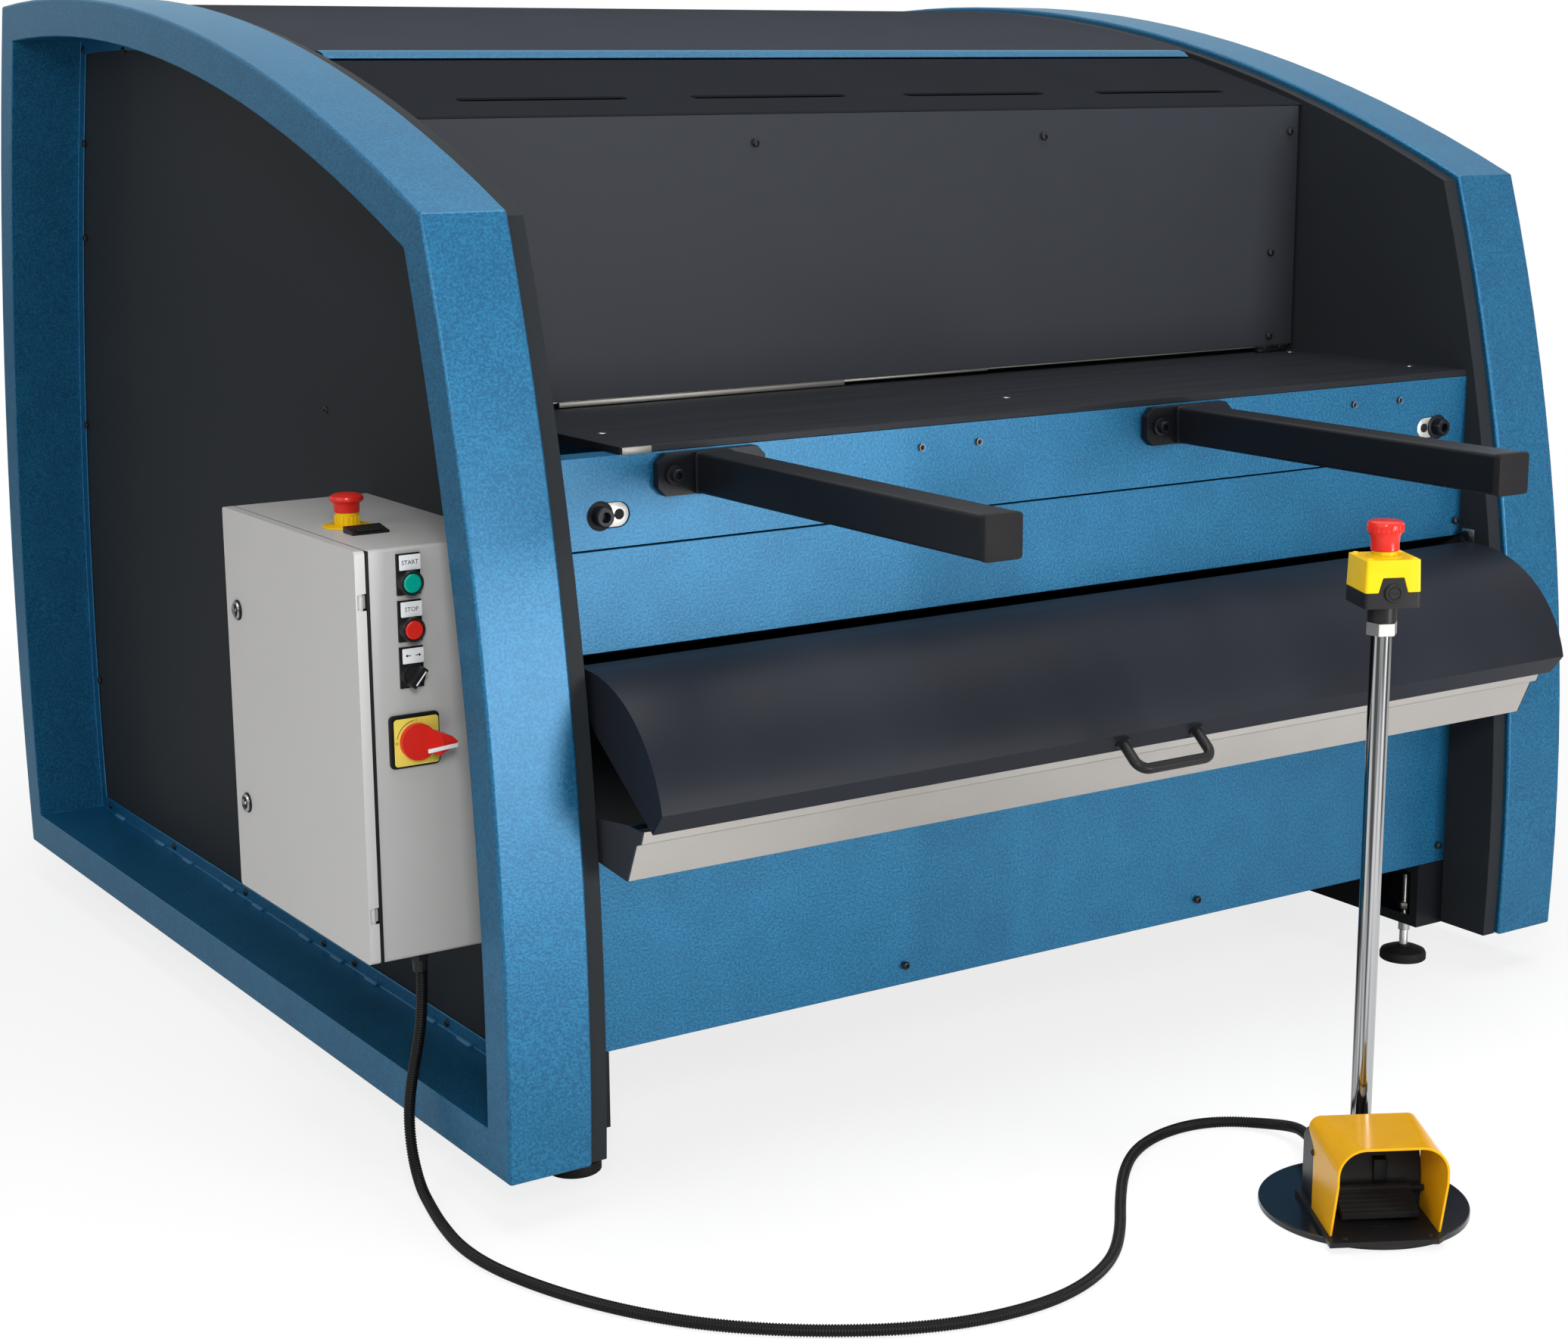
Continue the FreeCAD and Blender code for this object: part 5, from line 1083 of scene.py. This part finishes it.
class SHEAR_OT_conduit(Operator):
    """Lay the ribbed conduit from the cabinet to the pedal"""

    bl_idname = "shear.conduit"
    bl_label = "Conduit"

    low = 7.2
    hanging = (
        (-898, 194.4, 278.7),
        (-899, 194.4, 238), (-902, 200, 193), (-907, 213, 143), (-911, 220, 92),
        (-915, 206, 46), (-921, 172, 15),
    )
    on_floor = (
        (-929, 127), (-941, 72), (-950, 5), (-945, -62), (-926, -130), (-899, -197),
        (-864, -260), (-821, -318), (-768, -370), (-710, -414), (-647, -451), (-580, -477),
        (-512, -488), (-450, -486), (-391, -468), (-337, -436), (-286, -386), (-232, -321),
        (-176, -260), (-122, -216), (-66, -193), (-8, -189), (40, -206),
    )
    rising = ((72, -245, 10), (79, -292, 20))
    gland_side = -24
    gland_face = 61.1
    gland_z = 35
    gland_run = ((105, 4), (52, 0), (0, 0))
    groove = 0.9
    ring_steps = 14

    def route(self):
        points = [metres(MACHINE, *point) for point in self.hanging]
        points += [metres(MACHINE, x, y, self.low) for x, y in self.on_floor]
        points += [metres(MACHINE, *point) for point in self.rising]
        points += [metres(STATION, self.gland_side, self.gland_face + out, self.gland_z - drop)
                   for out, drop in self.gland_run]
        return points

    def line(self, route):
        """The conduit's middle, a curve through the route."""
        curve = bpy.data.curves.new("conduit_line", "CURVE")
        curve.dimensions = "3D"
        curve.resolution_u = 16
        spline = curve.splines.new("NURBS")
        spline.points.add(len(route) - 1)
        for point, place in zip(spline.points, route):
            point.co = (*place, 1)
        spline.order_u = 3
        spline.use_endpoint_u = True
        return linked("conduit_line", curve)

    def rib(self, pitch, outer):
        """One rib and its groove, with the run along x."""
        inner = outer - self.groove * MM
        profile = ((0.0, inner), (0.14, outer), (0.56, outer), (0.70, inner), (1.0, inner))
        part = spun([(part * pitch, 0, radius) for part, radius in profile], RIGHT,
                    self.ring_steps)
        bmesh.ops.remove_doubles(part, verts=part.verts, dist=MM * MM)
        bmesh.ops.recalc_face_normals(part, faces=part.faces)
        data = mesh_of(part, "conduit_rib")
        data.shade_smooth()
        return linked("conduit_rib", data)

    def execute(self, context):
        sizes = context.scene.shear_sizes
        route = self.route()
        line = self.line(route)
        trace = bpy.data.meshes.new_from_object(line)
        path = [vertex.co.copy() for vertex in trace.vertices]
        reach = sum((after - before).length for before, after in zip(path, path[1:]))
        count = round(reach / sizes.rib)
        pitch = reach / count
        rib = self.rib(pitch, sizes.conduit)
        row = rib.modifiers.new("row", "ARRAY")
        row.use_relative_offset = False
        row.use_constant_offset = True
        row.constant_offset_displace = (pitch, 0, 0)
        row.count = count
        row.use_merge_vertices = True
        row.merge_threshold = MM * 0.05
        bend = rib.modifiers.new("bend", "CURVE")
        bend.object = line
        bend.deform_axis = "POS_X"
        depsgraph = context.evaluated_depsgraph_get()
        tube = bpy.data.meshes.new_from_object(rib.evaluated_get(depsgraph))
        tube.name = "conduit_tube"
        tube.materials.clear()
        tube.materials.append(paint_of("conduit_black"))
        bpy.data.objects.remove(rib)
        bpy.data.objects.remove(line)
        piece = settle(linked(tube.name, tube), "root", ["conduit"])
        return {"FINISHED"}


class SHEAR_OT_stage(Operator):
    """Set up the floor, the lamps, the even light and the camera"""

    bl_idname = "shear.stage"
    bl_label = "Stage"

    floor_half = 60
    white_from = 1.3
    white_by = 3.4
    camera_place = (-2205.742, -2632.039, 1337.786)
    camera_shift = (-0.01583, -0.00069)
    sensor = 36
    far = 200
    lamps = (
        ("front_lamp", (1400, -4300, 760), (-500, 100, 650), (1.1, 1.4), "key"),
        ("fill_lamp", (-2300, -3000, 2300), (-800, 200, 700), (0.8, 0.8), "fill"),
        ("side_lamp", (-4700, -600, 2300), (-300, 500, 700), (3.0, 2.4), "side"),
        ("top_lamp", (0, -300, 4600), (0, 0, 0), (3.5, 3.5), "top"),
    )

    def lamp(self, name, place, target, extent, power):
        light = bpy.data.lights.new(name, "AREA")
        light.shape = "RECTANGLE"
        light.size, light.size_y = extent
        light.energy = power
        start = metres(MACHINE, *place)
        way = metres(MACHINE, *target) - start
        linked(name, light).matrix_world = (
            Matrix.Translation(start) @ way.to_track_quat("-Z", "Y").to_matrix().to_4x4())

    def floor(self, stage):
        part = bmesh.new()
        bmesh.ops.create_grid(part, x_segments=1, y_segments=1, size=self.floor_half)
        plane = linked("floor", mesh_of(part, "floor"))
        material = bpy.data.materials.new("pale_floor")
        graph = Graph(material)
        matt = graph.node("BsdfDiffuse", {"Color": stage.floor})
        glow = graph.node("Emission", {"Color": (1, 1, 1), "Strength": 1.0})
        camera_ray = graph.node("LightPath", output="Is Camera Ray")
        away = graph.node("VectorMath", {0: graph.node("TexCoord", output="Object")}, "Value",
                          operation="LENGTH")
        far = graph.step(away, self.white_from, self.white_by)
        share = camera_ray * (far * (1 - stage.floor_glow) + stage.floor_glow)
        shown = graph.node("MixShader", {0: share, 1: matt, 2: glow})
        graph.node("OutputMaterial", {"Surface": shown})
        plane.data.materials.append(material)

    def even_light(self, stage):
        world = bpy.data.worlds.new("even_light")
        bpy.context.scene.world = world
        graph = Graph(world)
        rays = [graph.node("LightPath", output=name)
                for name in ("Is Camera Ray", "Is Glossy Ray", "Is Transmission Ray")]
        seen = graph.maths("MAXIMUM", graph.maths("MAXIMUM", rays[0], rays[1]), rays[2])
        dim = graph.node("Background", {"Color": (1, 1, 1), "Strength": stage.ambient})
        white = graph.node("Background", {"Color": (1, 1, 1), "Strength": 1.0})
        light = graph.node("MixShader", {0: seen, 1: dim, 2: white})
        graph.node("OutputWorld", {"Surface": light})

    def camera(self, stage):
        lens = bpy.data.cameras.new("camera")
        lens.lens = stage.lens
        lens.sensor_width = self.sensor
        lens.shift_x, lens.shift_y = self.camera_shift
        lens.clip_end = self.far
        way = Vector((math.sin(stage.yaw) * math.cos(stage.pitch),
                      math.cos(stage.yaw) * math.cos(stage.pitch), -math.sin(stage.pitch)))
        turn = way.to_track_quat("-Z", "Y") @ Quaternion((0, 0, 1), stage.roll)
        holder = linked("camera", lens)
        holder.matrix_world = (Matrix.Translation(metres(MACHINE, *self.camera_place))
                               @ turn.to_matrix().to_4x4())
        bpy.context.scene.camera = holder

    def execute(self, context):
        stage = context.scene.shear_stage
        context.scene.view_settings.view_transform = "Standard"
        self.floor(stage)
        self.even_light(stage)
        for name, place, target, extent, power in self.lamps:
            self.lamp(name, place, target, extent, getattr(stage, power))
        self.camera(stage)
        return {"FINISHED"}


class SHEAR_PT_parts(Panel):
    """Lists the steps that finish the plate shear"""

    bl_idname = "SHEAR_PT_parts"
    bl_label = "Plate Shear"
    bl_space_type = "VIEW_3D"
    bl_region_type = "UI"
    bl_category = "Plate Shear"

    def draw(self, context):
        for step in STEPS:
            self.layout.operator(step.bl_idname)


STEPS = (
    SHEAR_OT_side_frames,
    SHEAR_OT_covers,
    SHEAR_OT_table,
    SHEAR_OT_arms,
    SHEAR_OT_chute,
    SHEAR_OT_base,
    SHEAR_OT_cabinet,
    SHEAR_OT_controls,
    SHEAR_OT_pedal,
    SHEAR_OT_stop_post,
    SHEAR_OT_conduit,
    SHEAR_OT_stage,
)
GROUPS = {"shear_colours": ShearColours, "shear_sizes": ShearSizes, "shear_stage": ShearStage}
CLASSES = (*GROUPS.values(), *STEPS, SHEAR_PT_parts)


def register():
    for made in CLASSES:
        bpy.utils.register_class(made)
    for name, group in GROUPS.items():
        setattr(bpy.types.Scene, name, PointerProperty(type=group))


def unregister():
    for name in GROUPS:
        delattr(bpy.types.Scene, name)
    for made in reversed(CLASSES):
        bpy.utils.unregister_class(made)


def main():
    register()
    for step in STEPS:
        group, name = step.bl_idname.split(".")
        getattr(getattr(bpy.ops, group), name)()


if __name__ == "__main__":
    main()
